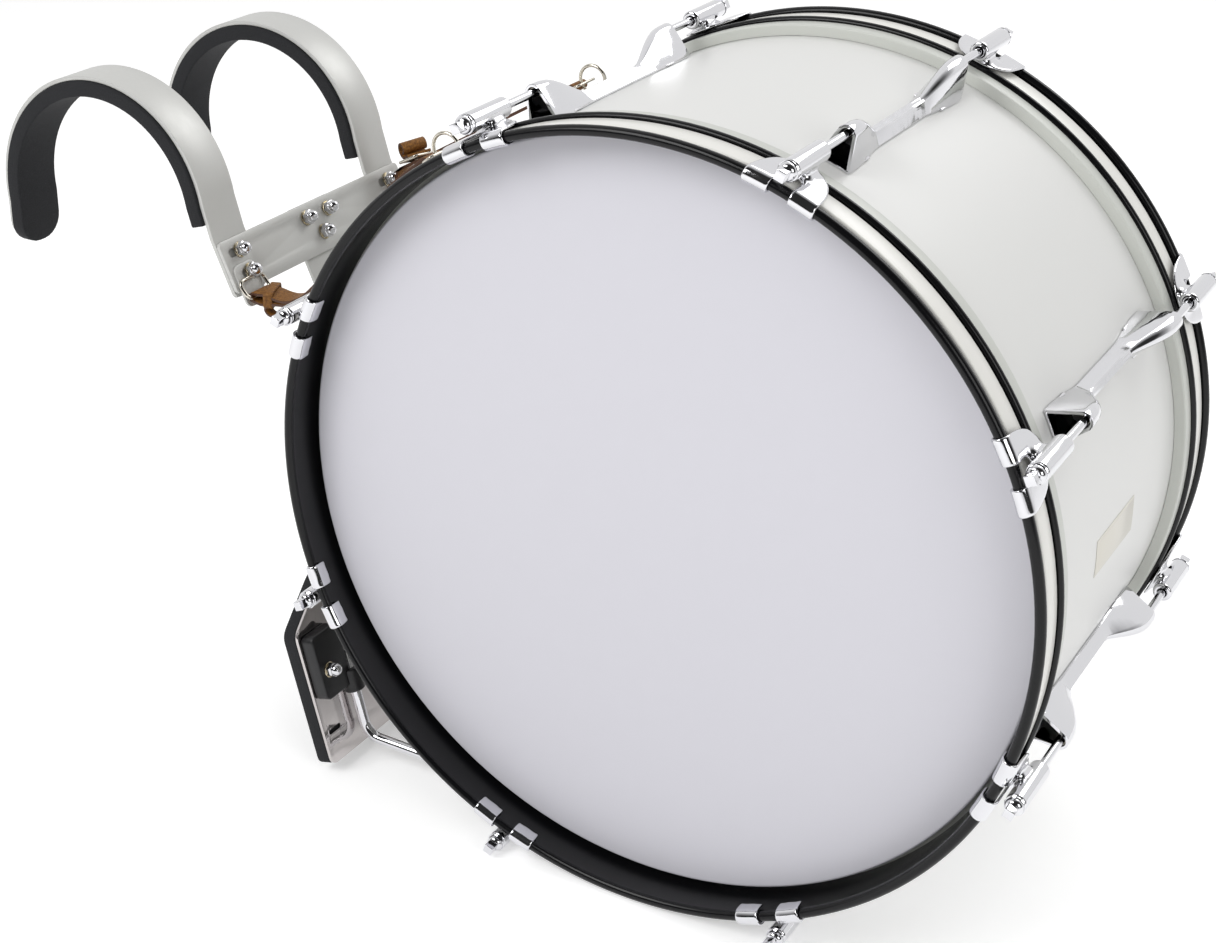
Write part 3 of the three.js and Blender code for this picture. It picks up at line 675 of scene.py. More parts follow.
# Tension rod: shank, washer, domed collar and a square key head
ROD_SHORTER, KEY_LONGER = 9 * MM, 3 * MM  # than the solids' rods
SHANK, WASHER, DOME = 3 * MM, 7.1 * MM, 6.3 * MM
WASHER_WALL, WASHER_EDGE = 1.5 * MM, 0.4 * MM
DOME_FOOT, DOME_RISE, DOME_TOP = 2.2 * MM, 4.4 * MM, 5.6 * MM
KEY_HALF, KEY_FOOT = 3.6 * MM, 3 * MM


def make_rods():
    start, end = rod_low.y - AXIS.y + ROD_SHORTER, rod_high.y - AXIS.y + KEY_LONGER
    seat = BARREL_END + GAP
    profile = [
        (0, start), (SHANK - 0.6 * MM, start), (SHANK, start + 0.7 * MM), (SHANK, seat),
        (WASHER - 0.3 * MM, seat), (WASHER, seat + 0.3 * MM), (WASHER, seat + WASHER_WALL - WASHER_EDGE),
        (WASHER - WASHER_EDGE, seat + WASHER_WALL), (DOME, seat + WASHER_WALL),
        *[(DOME * math.cos(t), seat + DOME_FOOT + DOME_RISE * math.sin(t)) for t in (0, 0.3, 0.6, 0.85)],
        (0, seat + DOME_TOP),
    ]
    rod = spun("rod", chrome, profile, steps=32, closed=False, centre=ROD_PLACE)
    smooth(rod, 40)
    corners = rounded_box(0, 0, 2 * KEY_HALF, 2 * KEY_HALF, 0.5 * MM, steps=2)
    foot = [ROD_PLACE + Vector((x, seat + KEY_FOOT, z)) for x, z in corners]
    key = slab("key", chrome, (0, end - seat - KEY_FOOT, 0), foot, bevel=0.6 * MM, segments=3)
    rod = join("rod", rod, key)
    place_ends(rod, "key_rod_turned_", "key_rod_MARK", "chrome", "key_rod_")


make_rods()


# Lug: a ridged bridge between two hoods, each open at its mouth and holding a swivel nut
BRIDGE = 7.5 * MM, 9.7 * MM, 2.7 * MM
LUG_RINGS = (  # distance from the middle, half width, height and crown radius, in millimetres
    (42, 7.7, 10.8, 2.9), (47, 8.1, 13.2, 3.3), (52, 8.7, 15.9, 3.8), (58, 9.5, 19.2, 4.4),
    (65, 10.4, 22.9, 5.1), (72, 11.2, 26, 5.8), (79, 11.8, 28.2, 6.3), (86, 12.1, 29.1, 6.6),
    (92, 12.1, 29.3, 6.7), (97, 11.9, 29.3, 6.7),
)
LUG_WALL = 2.1 * MM
LUG_LIP = 1.4 * MM
NUT_START, NUT_END = 80 * MM, 88 * MM
NUT_BORE, NUT_HALF, NUT_EDGE = 3.1 * MM, 4.5 * MM, 0.5 * MM
FLOOR_START, FLOOR_END = 62 * MM, 97.5 * MM
FLOOR_HALF, FLOOR_WALL = 11.2 * MM, 1.8 * MM


def lug_arch(half, height, crown):
    """One side of a hood's section: up from the shell, then tangent to a round crown."""
    centre = height - crown
    rise = math.hypot(half, centre - LUG_LIP)
    touch = math.acos(crown / rise) - math.atan2(centre - LUG_LIP, half)
    top = arc(0, centre, crown, touch, math.pi / 2, 6)
    x, y = top[0]
    middle = ((half + x) / 2, (LUG_LIP + y) / 2)
    return [(half, 0), (half, LUG_LIP), middle] + top[:-1]


def bridge_arch(half, height, top):
    """One side of the bridge's section: a slope up to a narrow flat ridge."""
    slope = [(half + (top - half) * s, LUG_LIP + (height - LUG_LIP) * s) for s in (0, 0.35, 0.7, 0.9, 1)]
    return [(half, 0), *slope, (top * 0.75, height), (top * 0.5, height), (top * 0.25, height)]


def lug_ring(y, section, height):
    """A ring of points across the lug; its foot lies on the shell."""
    low = SHELL_RADIUS + GAP
    points = []
    for z, x in section + [(0, height)] + [(-z, x) for z, x in reversed(section)]:
        foot = low + x if x else math.sqrt(low ** 2 - z ** 2)
        points.append(AXIS + Vector((foot, y, z)))
    return points


def make_lugs():
    sizes = [tuple(v * MM for v in ring) for ring in LUG_RINGS]
    rings = [lug_ring(-y, lug_arch(*size), size[1]) for y, *size in reversed(sizes)]
    rings += [lug_ring(y * MM, bridge_arch(*BRIDGE), BRIDGE[1]) for y in (-40, -20, 0, 20, 40)]
    rings += [lug_ring(y, lug_arch(*size), size[1]) for y, *size in sizes]
    lug = bridged("lug", chrome, rings, closed=False)
    modify(lug, "SOLIDIFY", thickness=LUG_WALL, offset=-1, use_even_offset=True)
    bevelled(lug, 0.7 * MM, 3, above=60)
    smooth(lug, 24)
    profile = [
        (NUT_BORE, NUT_START), (NUT_HALF - NUT_EDGE, NUT_START), (NUT_HALF, NUT_START + NUT_EDGE),
        (NUT_HALF, NUT_END - NUT_EDGE), (NUT_HALF - NUT_EDGE, NUT_END), (NUT_BORE, NUT_END),
    ]
    nut = smooth(spun("nut", nickel, profile, steps=28, centre=ROD_PLACE), 40)
    base = SHELL_RADIUS + GAP
    top = base + FLOOR_WALL
    reach = FLOOR_HALF / base
    profile = [(base, FLOOR_START), (top, FLOOR_START), (top, FLOOR_END), (base, FLOOR_END)]
    floor = spun("lug_floor", chrome, profile, steps=8, angle=2 * reach, start=-reach)
    end = join("lug_end", nut, bevelled(floor, 0.6 * MM, 3))
    other = copied(end, "lug_front_end", about(AXIS, Matrix.Rotation(math.pi, 4, "X")))
    lug = join("lug", lug, end, other)
    for k in range(STATIONS):
        settle(copied(lug, "lug_cast_%d" % k, station(k)), ROOT, "chrome", "lug_%d" % k)
    bpy.data.objects.remove(lug)


make_lugs()


# Blank badge on the shell
BADGE_HALF_LENGTH, BADGE_HALF_HEIGHT = 40 * MM, 13.5 * MM
BADGE_TURN, BADGE_ASIDE = math.radians(1.2), -5 * MM
BADGE_LIFT, BADGE_WALL = 0.15 * MM, 0.25 * MM
BADGE_RIM, BADGE_STEP, BADGE_RELIEF = 1.4 * MM, 0.5 * MM, 0.2 * MM


def make_badge():
    radius = SHELL_RADIUS + BADGE_LIFT
    spread = BADGE_HALF_HEIGHT / radius
    foot = Vector((math.cos(BADGE_TURN - spread), 0, math.sin(BADGE_TURN - spread))) * radius
    ends = [AXIS + foot + Vector((0, BADGE_ASIDE + side * BADGE_HALF_LENGTH, 0)) for side in (-1, 1)]
    badge = drawn("badge", foil, ends, closed=False)
    edit(badge)
    bpy.ops.mesh.spin(steps=10, angle=2 * spread, center=AXIS, axis=(0, 1, 0))
    face_out(badge)
    edit(badge)
    bpy.ops.mesh.inset(thickness=BADGE_RIM, depth=0)
    bpy.ops.mesh.inset(thickness=BADGE_STEP, depth=BADGE_RELIEF)
    bpy.ops.object.mode_set(mode="OBJECT")
    modify(badge, "SOLIDIFY", thickness=BADGE_WALL, offset=0)
    settle(smooth(badge), ROOT, "chrome")


make_badge()


# Carrier. A leaning plate's own frame: +X leaves its face towards the drum, +Z climbs its slope.
def leaning(origin, degrees):
    return Matrix.Translation(origin) @ Matrix.Rotation(-math.radians(degrees), 4, "Y")


UPPER_LEAN, LOWER_LEAN = 25, 16
UPPER = leaning(AXIS + Vector((-396, 0, 119)) * MM, UPPER_LEAN)
LOWER = leaning(UPPER @ (Vector((-3.5, 0, -140)) * MM), LOWER_LEAN)
PLATE = 3.2 * MM
BEHIND = -PLATE - GAP
BAR_Y = 99.5 * MM
STRAP_Y = 103 * MM
ROWS = 11 * MM, 29 * MM
BRACKET = 2 * MM
RAIL_WIRE = 1.5 * MM
RAIL = UPPER @ (Vector((6.9, 0, -48.5)) * MM)
SPINE_BOLTS = (-14 * MM, -11 * MM), (14 * MM, -11 * MM), (0, -27 * MM)


def on_face(points, off=0.0):
    """Points (y, z) of a plate, at a distance off its face."""
    return [Vector((off, y, z)) for y, z in points]


def softened(points, reach, steps=5):
    """A line with its inner corners rounded."""
    line = [points[0]]
    for before, corner, after in zip(points, points[1:], points[2:]):
        start = corner + (before - corner).normalized() * reach
        end = corner + (after - corner).normalized() * reach
        for i in range(steps + 1):
            line.append(start.lerp(corner, i / steps).lerp(corner.lerp(end, i / steps), i / steps))
    return line + [points[-1]]


def wire(name, material, path, radius, closed=True):
    """A round wire along a path."""
    obj = drawn(name, None, path, closed=closed)
    pick(obj)
    bpy.ops.object.convert(target="CURVE")
    obj = bpy.context.object
    obj.data.bevel_depth = radius
    obj.data.bevel_resolution = 4
    obj.data.use_fill_caps = not closed
    bpy.ops.object.convert(target="MESH")
    obj = bpy.context.object
    obj.data.materials.append(material)
    return smooth(face_out(obj), 60)


HEXAGON_RADIUS, HEXAGON_HEIGHT = 6.05 * MM, 5 * MM
ACORN_RADIUS, ACORN_BASE, ACORN_MIDDLE = 4.8 * MM, 6 * MM, 7.2 * MM
BOLT_LIFT = 0.2 * MM
FIRST_TURN, NEXT_TURN = 0.5, 1.7


def make_bolt():
    """Washer, hexagon and dome of an acorn nut, standing on the origin along +X."""
    rim, bore, thick = 6.25 * MM, 2.9 * MM, 1.2 * MM
    edge = 0.25 * MM
    line = [
        (bore, 0), (rim - edge, 0), (rim, edge),
        (rim, thick - edge), (rim - edge, thick), (bore, thick),
    ]
    washer = smooth(spun("bolt_washer", zinc, line, steps=32, centre=(0, 0, 0)))
    corners = arc(0, 0, HEXAGON_RADIUS, 0, 2 * math.pi, 6)[1:]
    hexagon = [Vector((x, thick, z)) for x, z in corners]
    hexagon = slab("bolt_hexagon", chrome, (0, HEXAGON_HEIGHT, 0), hexagon, bevel=0.5 * MM)
    round_top = arc(0, ACORN_MIDDLE, ACORN_RADIUS, 0, math.pi / 2, 8)
    line = [(0, ACORN_BASE), (ACORN_RADIUS, ACORN_BASE), *round_top]
    dome = smooth(spun("bolt_dome", chrome, line, steps=32, closed=False, centre=(0, 0, 0)), 40)
    return moved(join("bolt", washer, hexagon, dome), Matrix.Rotation(-math.pi / 2, 4, "Z"))


BOLT = make_bolt()


def bolts(base, face, places):
    """Bolts on a leaning plate's face, at points (y, z), each turned its own way."""
    nuts = []
    for i, (y, z) in enumerate(places):
        turn = Matrix.Rotation(FIRST_TURN + NEXT_TURN * i, 4, "X")
        nuts.append(copied(BOLT, "bolt_copy", base @ Matrix.Translation((face, y, z)) @ turn))
    return nuts


def slot_hole(y, z, length=25 * MM, width=7 * MM):
    return rounded_box(y, z, length, width, width * 0.49)


CROSSBAR_LENGTH, CROSSBAR_HEIGHT, CROSSBAR_CORNER = 237 * MM, 42 * MM, 4 * MM
BOLT_HOLE = 3.2 * MM
TAB_WIDTH, TAB_HEIGHT, TAB_CORNER, TAB_MIDDLE = 25 * MM, 34 * MM, 6 * MM, -38 * MM
RAIL_WIDTH, RAIL_HEIGHT, RAIL_CORNER, RAIL_MIDDLE = 28 * MM, 15 * MM, 5 * MM, -41 * MM
RAIL_OFF, RAIL_SLOPE = 3.8 * MM, 0.3


def make_crossbar():
    outline = rounded_box(0, -CROSSBAR_HEIGHT / 2, CROSSBAR_LENGTH, CROSSBAR_HEIGHT, CROSSBAR_CORNER)
    loops = [outline] + [slot_hole(side * BAR_Y, -row) for side in (-1, 1) for row in ROWS]
    loops += [arc(y, z, BOLT_HOLE, 0, 2 * math.pi, 16)[1:] for y, z in SPINE_BOLTS]
    loops = [on_face(loop, -PLATE) for loop in loops]
    parts = [moved(slab("crossbar", alloy, (PLATE, 0, 0), *loops, bevel=0.4 * MM), UPPER)]
    for side in (-1, 1):
        tab = rounded_box(side * STRAP_Y, TAB_MIDDLE, TAB_WIDTH, TAB_HEIGHT, TAB_CORNER)
        loops = on_face(tab), on_face(slot_hole(side * BAR_Y, -ROWS[1], 17 * MM))
        tab = slab("bracket", alloy, (BRACKET, 0, 0), *loops, bevel=0.35 * MM)
        rail = rounded_box(side * STRAP_Y, RAIL_MIDDLE, RAIL_WIDTH, RAIL_HEIGHT, RAIL_CORNER, steps=6)
        rail = [Vector((RAIL_OFF + max(0, TAB_MIDDLE - z) * RAIL_SLOPE, y, z)) for y, z in rail]
        parts += [moved(tab, UPPER), moved(wire("bracket_loop", nickel, rail, RAIL_WIRE), UPPER)]
    settle(join("crossbar_drilled", *parts), ROOT, "bar_alloy", "crossbar")


make_crossbar()


SPINE_WIDTH, SPINE_FOOT, SPINE_BEND = 56 * MM, -250 * MM, 12 * MM


def make_spine():
    top = UPPER @ Vector((BEHIND - PLATE / 2, 0, 0))
    corner = LOWER @ Vector((-PLATE / 2, 0, 0))
    foot = LOWER @ Vector((-PLATE / 2, 0, SPINE_FOOT))
    line = softened([top, corner, foot], SPINE_BEND)
    spine = ribbon("spine", alloy, line, SPINE_WIDTH, PLATE, ends=(4 * MM, 8 * MM))
    nuts = bolts(UPPER, BOLT_LIFT, SPINE_BOLTS)
    settle(join("spine_bent", spine, *nuts), ROOT, "bar_alloy", "spine")


make_spine()


# Shoulder hooks with their foam pads
ARCH = AXIS + Vector((-512, 0, 128)) * MM
ARCH_RADIUS = 105 * MM
ARCH_START, ARCH_END = math.radians(10), math.radians(188)
BAR_THICK, BAR_WIDTH = 3.5 * MM, 38 * MM
BAR_TAB = -44.5 * MM, -20 * MM, 4 * MM
PAD_THICK, PAD_WIDTH, PAD_LONGER = 12.5 * MM, 43 * MM, 4 * MM
HEEL_DROP = 34 * MM


def hook_path(inside, heel):
    """The hook's line at a distance inside its outer face, down to its heel."""
    turns = arc(ARCH.x, ARCH.z, ARCH_RADIUS - inside, ARCH_START, ARCH_END, 48)
    points = [Vector((x, 0, z)) for x, z in turns]
    return points + [points[-1] - Vector((0, 0, heel * share)) for share in (0.45, 1)]


def make_hooks():
    half = BAR_THICK / 2
    tab = [UPPER @ Vector((BEHIND - half, 0, z)) for z in BAR_TAB]
    path = tab + hook_path(half, HEEL_DROP)
    bar = ribbon("bar", alloy, path, BAR_WIDTH, BAR_THICK, ends=(4 * MM, 17 * MM), bevel=0.5 * MM)
    inside = BAR_THICK + GAP + PAD_THICK / 2
    line = hook_path(inside, HEEL_DROP + PAD_LONGER)
    tab_end = UPPER @ Vector((BEHIND - inside, 0, BAR_TAB[-1]))
    path = [tab_end.lerp(line[0], 0.45)] + line
    pad = ribbon("pad", foam, path, PAD_WIDTH, PAD_THICK, ends=(0, 19 * MM), bevel=1.6 * MM, segments=3)
    for side, sign in (("front", -1), ("rear", 1)):
        aside = Matrix.Translation((0, sign * BAR_Y, 0))
        nuts = bolts(UPPER, BOLT_LIFT, [(sign * BAR_Y, -ROWS[0])])
        nuts += bolts(UPPER, BRACKET + BOLT_LIFT, [(sign * BAR_Y, -ROWS[1])])
        hook = join("shoulder_bar_%s_bent" % side, copied(bar, "bar_copy", aside), *nuts)
        settle(hook, "shoulder_" + side, "bar_alloy", "shoulder_bar_" + side)
        cushion = copied(pad, "shoulder_pad_%s_foam" % side, aside)
        settle(cushion, "shoulder_" + side, "foam", "shoulder_pad_" + side)
    bpy.data.objects.remove(bar)
    bpy.data.objects.remove(pad)


make_hooks()


# Belly plate, its foam and what is clamped on it
BELLY_HEIGHT = 157 * MM
BELLY_LOW = -281.5 * MM
BELLY_TOP = BELLY_LOW + BELLY_HEIGHT
BELLY_HALF = 169.5 * MM
BELLY_SHARES = (1, 0.72), (0.763, 0.904), (0.615, 1)  # of half the width and of the height
BELLY_WALL = 2.5 * MM
BELLY_CORNER = 7 * MM
BELLY_SLOT_LENGTH, BELLY_SLOT_WIDTH, BELLY_SLOT_INSET = 15 * MM, 4 * MM, 13 * MM
BELLY_SLOT_DROPS = 50 * MM, 131 * MM
SUPPORT_Y = 131 * MM
SUPPORT_OFF = BEHIND + 9 * MM


def belly_outline():
    right = [Vector((BELLY_HALF * w, BELLY_LOW + BELLY_HEIGHT * h)) for w, h in BELLY_SHARES]
    corner = Vector((BELLY_HALF, BELLY_LOW))
    run = [Vector((0, BELLY_LOW)), corner, *right, Vector((0, BELLY_TOP))]
    half = softened([p.to_3d() for p in run], BELLY_CORNER)
    half = [(p.x, p.y) for p in half]
    return half + [(-y, z) for y, z in reversed(half[1:-1])]


def make_belly():
    loops = [belly_outline()]
    for side in (-1, 1):
        for drop in BELLY_SLOT_DROPS:
            y = side * (BELLY_HALF - BELLY_SLOT_INSET)
            loops.append(slot_hole(y, BELLY_TOP - drop, BELLY_SLOT_LENGTH, BELLY_SLOT_WIDTH))
    loops = [on_face(loop, BEHIND - BELLY_WALL) for loop in loops]
    plate = slab("belly_plate_polished", mirror, (BELLY_WALL, 0, 0), *loops, bevel=0.5 * MM, segments=3)
    settle(moved(plate, LOWER), ROOT, "polished_plate", "belly_plate")
    back = BEHIND - BELLY_WALL - GAP - PAD_THICK
    loop = on_face(belly_outline(), back)
    pad = slab("belly_pad_foam", foam, (PAD_THICK, 0, 0), loop, bevel=1.4 * MM, segments=3)
    settle(moved(pad, LOWER), ROOT, "foam", "belly_pad")


make_belly()


CLAMP_Y, CLAMP_DROP = BELLY_HALF - 18.5 * MM, 74 * MM
CLAMP_WIDTH, CLAMP_HEIGHT, CLAMP_DEPTH, CLAMP_CORNER = 33 * MM, 54 * MM, 12 * MM, 5 * MM
CLAMP_BOLT = 157 * MM, BELLY_TOP - 78 * MM
COLLAR_FOOT_DROP, COLLAR_TOP_DROP = 108 * MM, 89 * MM


def make_clamps():
    block = rounded_box(CLAMP_Y, BELLY_TOP - CLAMP_DROP, CLAMP_WIDTH, CLAMP_HEIGHT, CLAMP_CORNER)
    low, high = BELLY_TOP - COLLAR_FOOT_DROP, BELLY_TOP - COLLAR_TOP_DROP
    bore, rim, edge = 4.8 * MM, 8.7 * MM, 0.8 * MM
    line = [
        (bore, low), (rim - edge, low), (rim, low + edge),
        (rim, high - edge), (rim - edge, high), (bore, high),
    ]
    upright = Matrix.Rotation(math.pi / 2, 4, "X")
    for side, sign in (("front", -1), ("rear", 1)):
        outline = on_face([(sign * y, z) for y, z in block], BEHIND + GAP)
        body = slab("clamp_block", nylon, (CLAMP_DEPTH, 0, 0), outline, bevel=1.3 * MM, segments=3)
        collar = spun("clamp_collar", nylon, line, steps=36, centre=(0, 0, 0))
        moved(collar, Matrix.Translation((SUPPORT_OFF, sign * SUPPORT_Y, 0)) @ upright)
        clamp = moved(join("clamp", body, smooth(collar)), LOWER)
        nut = bolts(LOWER, BEHIND + CLAMP_DEPTH + BOLT_LIFT, [(sign * CLAMP_BOLT[0], CLAMP_BOLT[1])])
        clamp = join("clamp_%s_moulded" % side, clamp, *nut)
        settle(clamp, ROOT, "block_plastic", "clamp_" + side)
    bpy.data.objects.remove(BOLT)


make_clamps()


SUPPORT_RADIUS, SUPPORT_BEND = 4.5 * MM, 16 * MM
SUPPORT_TOP_DROP = 72 * MM
ARM_UNDER_AXIS, TIP_BEHIND_AXIS = 271 * MM, 122 * MM


def make_supports():
    """Round bar: down beside the plate, round an elbow, then forward under the drum."""
    radius, bend = SUPPORT_RADIUS, SUPPORT_BEND
    lean = math.radians(LOWER_LEAN)
    top = LOWER @ Vector((SUPPORT_OFF, 0, BELLY_TOP - SUPPORT_TOP_DROP))
    arm = AXIS.z - ARM_UNDER_AXIS
    down = Vector((math.sin(lean), 0, -math.cos(lean)))
    across = Vector((math.cos(lean), 0, math.sin(lean)))
    corner = top + down * (top.z - arm) / math.cos(lean)
    tangent = bend * math.tan(math.pi / 4 - lean / 2)
    start = corner - down * tangent
    centre = Vector((corner.x + tangent, 0, arm + bend))
    circle = arc(0, 0, radius, 0, 2 * math.pi, 24)[1:]
    rod = drawn("support", chrome, [top + across * u + Vector((0, v, 0)) for u, v in circle])
    edit(rod)
    bpy.ops.mesh.extrude_region_move(TRANSFORM_OT_translate={"value": start - top})
    bpy.ops.mesh.spin(steps=12, angle=math.pi / 2 - lean, center=centre, axis=(0, 1, 0))
    reach = AXIS.x - TIP_BEHIND_AXIS - centre.x
    bpy.ops.mesh.extrude_region_move(TRANSFORM_OT_translate={"value": (reach, 0, 0)})
    bpy.ops.mesh.select_all(action="SELECT")
    bpy.ops.mesh.fill_holes(sides=0)
    bevelled(face_out(rod), 0.8 * MM, 3, above=60)
    for side, sign in (("front", -1), ("rear", 1)):
        copy = copied(rod, "support_%s_bent" % side, Matrix.Translation((0, sign * SUPPORT_Y, 0)))
        settle(copy, "drum_support_" + side, "chrome", "support_" + side)
    bpy.data.objects.remove(rod)


make_supports()


# Straps: from each bracket's loop up to a link in a ring that stands on the shell
RING_TURN = math.radians(130.7)
RING_OUT = Vector((math.cos(RING_TURN), 0, math.sin(RING_TURN)))
RING_CENTRE = AXIS + RING_OUT * (SHELL_RADIUS + 18.5 * MM)
RING_RADIUS, RING_WIRE = 11.1 * MM, 1.4 * MM
POST = (  # half width and height above the foot's base, in millimetres
    (0, 0), (7, 0), (7, 1), (6, 2), (3.2, 2.6), (2.6, 4), (2.9, 7.5), (2.2, 9.4), (0, 9.8),
)
LINK_LENGTH, LINK_WIDTH, LINK_CORNER = 10 * MM, 25 * MM, 2.5 * MM
LINK_WIRE, LINK_GAP = 1.1 * MM, 0.2 * MM
LAYER = 2.4 * MM
STRAP_WIDTH = 20 * MM
# Lines of the straps, in millimetres from the drum's axis: each free end down to its bracket, and each
# strap from the bracket up towards its ring. The slack strap is the front one.
SLACK_END = (-318, 88.2), (-328, 82), (-337, 78.3), (-352, 75.8), (-361, 73.8)
SLACK_RUN = (
    (-358, 81.9), (-346, 80.4), (-337, 81), (-328, 84.7),
    (-319, 90.8), (-303, 108), (-283, 136), (-243, 186),
)
TAUT_END = (-368.6, 106), (-366.5, 98.5), (-366.4, 88)
TAUT_RUN = (-371, 86), (-369.4, 98.5), (-374.2, 108.5), (-377, 116), (-373.5, 123.2), (-355, 133.8)


def make_eye(name, y, run):
    """Foot, post and ring on the shell, and the link that ties a strap to the ring."""
    circle = arc(RING_CENTRE.x, RING_CENTRE.z, RING_RADIUS, 0, 2 * math.pi, 48)[1:]
    ring = wire("ring", nickel, [Vector((x, y, z)) for x, z in circle], RING_WIRE)
    turn = Matrix.Rotation(-RING_TURN, 4, "Y") @ Matrix.Rotation(-math.pi / 2, 4, "Z")
    base = SHELL_RADIUS + GAP
    line = [(across * MM, base + up * MM) for across, up in POST]
    foot = smooth(spun("foot", chrome, line, steps=32, closed=False, centre=(0, 0, 0)), 40)
    moved(foot, Matrix.Translation(AXIS + Vector((0, y, 0))) @ turn)
    side = Vector((0, 1, 0))
    middle = RING_CENTRE - run * RING_RADIUS + side * y
    corners = rounded_box(0, 0, LINK_LENGTH, LINK_WIDTH, LINK_CORNER)
    link = wire("link", nickel, [middle + run * u + side * v for u, v in corners], LINK_WIRE)
    return join(name, ring, foot, link)


def from_axis(points):
    return [AXIS + Vector((x, 0, z)) * MM for x, z in points]


def half_turn(centre, radius, start):
    """Half a circle, clockwise as seen from the front."""
    return [Vector((x, 0, z)) for x, z in arc(centre.x, centre.z, radius, start, start - math.pi, 8)]


def edged(obj):
    """Gives the cut sides of a strap the darker edge."""
    obj.data.materials.append(leather_edge)
    for face in obj.data.polygons:
        if abs(face.normal.y) > 0.7:
            face.material_index = 1
    return obj


KEEPER_WIDTH, KEEPER_HEIGHT, KEEPER_LENGTH, KEEPER_WALL = 27 * MM, 13.4 * MM, 7.5 * MM, 1.8 * MM
KEEPER_PLACE, KEEPER_TURN = AXIS + Vector((-362.5, 0, 78.5)) * MM, math.radians(22)
SLIP_RUN = (-356, 73.6), (-357.6, 70.4), (-354, 66.8), (-346, 66.9), (-340.5, 71.2), (-337.5, 76.4)
SLIP_WIDTH, SLIP_LAYER, SLIP_ASIDE = 9 * MM, 2 * MM, -6 * MM


def make_keeper():
    """The slack strap's keeper band, and the slip of leather that hangs in a loop under it."""
    outer = rounded_box(0, 0, KEEPER_WIDTH, KEEPER_HEIGHT, 3 * MM)
    inner = rounded_box(0, 0, KEEPER_WIDTH - 2 * KEEPER_WALL, KEEPER_HEIGHT - 2 * KEEPER_WALL, 1.6 * MM)
    band = slab("keeper", leather, (KEEPER_LENGTH, 0, 0), on_face(outer), on_face(inner), bevel=0.5 * MM)
    moved(band, Matrix.Rotation(KEEPER_TURN, 4, "Z"))
    moved(band, Matrix.Translation(KEEPER_PLACE))
    hanging = flowing(from_axis(SLIP_RUN), 5)
    slip = ribbon("slip", leather, hanging, SLIP_WIDTH, SLIP_LAYER, bevel=0.4 * MM)
    moved(slip, Matrix.Translation((0, SLIP_ASIDE, 0)))
    return join("keeper", band, edged(slip))


BUCKLE_LENGTH, BUCKLE_WIDTH, BUCKLE_BAR, BUCKLE_WALL = 22 * MM, 30 * MM, 4 * MM, 2.4 * MM
BUCKLE_PLACE = AXIS + Vector((-363.6, 3, 130.6)) * MM
BUCKLE_SLOPE, BUCKLE_TILT = math.radians(28.5), math.radians(8)
ROLL_WIDTH, ROLL_STEPS = 22 * MM, 40
ROLL_OUTER, ROLL_SHRINK, ROLL_TURNS = 7, 4.2, 2.1 * math.pi
ROLL_END = (9, -7.3), (4.5, -7.2)
ROLL_PLACE, ROLL_ASKEW = Vector((-1, 0, 10.9)) * MM, math.radians(-30)


def make_buckle():
    """The taut strap's buckle frame at its bend, and the rolled free end on top."""
    outer = rounded_box(0, 0, BUCKLE_LENGTH, BUCKLE_WIDTH, 4 * MM)
    inner = rounded_box(0, 0, BUCKLE_LENGTH - 2 * BUCKLE_BAR, BUCKLE_WIDTH - 2 * BUCKLE_BAR, 2 * MM)
    loops = [[Vector((x, y, 0)) for x, y in loop] for loop in (outer, inner)]
    frame_bar = slab("buckle", nickel, (0, 0, BUCKLE_WALL), *loops, bevel=0.7 * MM, segments=3)
    tongue = [Vector((x * MM, 0, BUCKLE_WALL / 2)) for x in (-9, 0, 9)]
    tongue = wire("tongue", nickel, tongue, 1 * MM, closed=False)
    spiral = [Vector((x, 0, z)) * MM for x, z in ROLL_END]
    for i in range(ROLL_STEPS + 1):
        turn = -math.pi / 2 - ROLL_TURNS * i / ROLL_STEPS
        radius = (ROLL_OUTER - ROLL_SHRINK * i / ROLL_STEPS) * MM
        spiral.append(Vector((math.cos(turn), 0, math.sin(turn))) * radius)
    roll = ribbon("roll", leather, spiral, ROLL_WIDTH, LAYER, bevel=0.5 * MM)
    moved(edged(roll), Matrix.Translation(ROLL_PLACE) @ Matrix.Rotation(ROLL_ASKEW, 4, "Z"))
    slope = Matrix.Rotation(-BUCKLE_SLOPE, 4, "Y") @ Matrix.Rotation(-BUCKLE_TILT, 4, "X")
    return moved(join("buckle", frame_bar, tongue, roll), Matrix.Translation(BUCKLE_PLACE) @ slope)


STRAPS = (  # side, place across, free end, run and where the turn round the rail starts
    ("front", -STRAP_Y, SLACK_END, SLACK_RUN, -math.pi / 2),
    ("rear", STRAP_Y, TAUT_END, TAUT_RUN, 0),
)
TAIL_NEAR, TAIL_FAR, TAIL_LIFT = 9 * MM, 20 * MM, 1.2 * MM


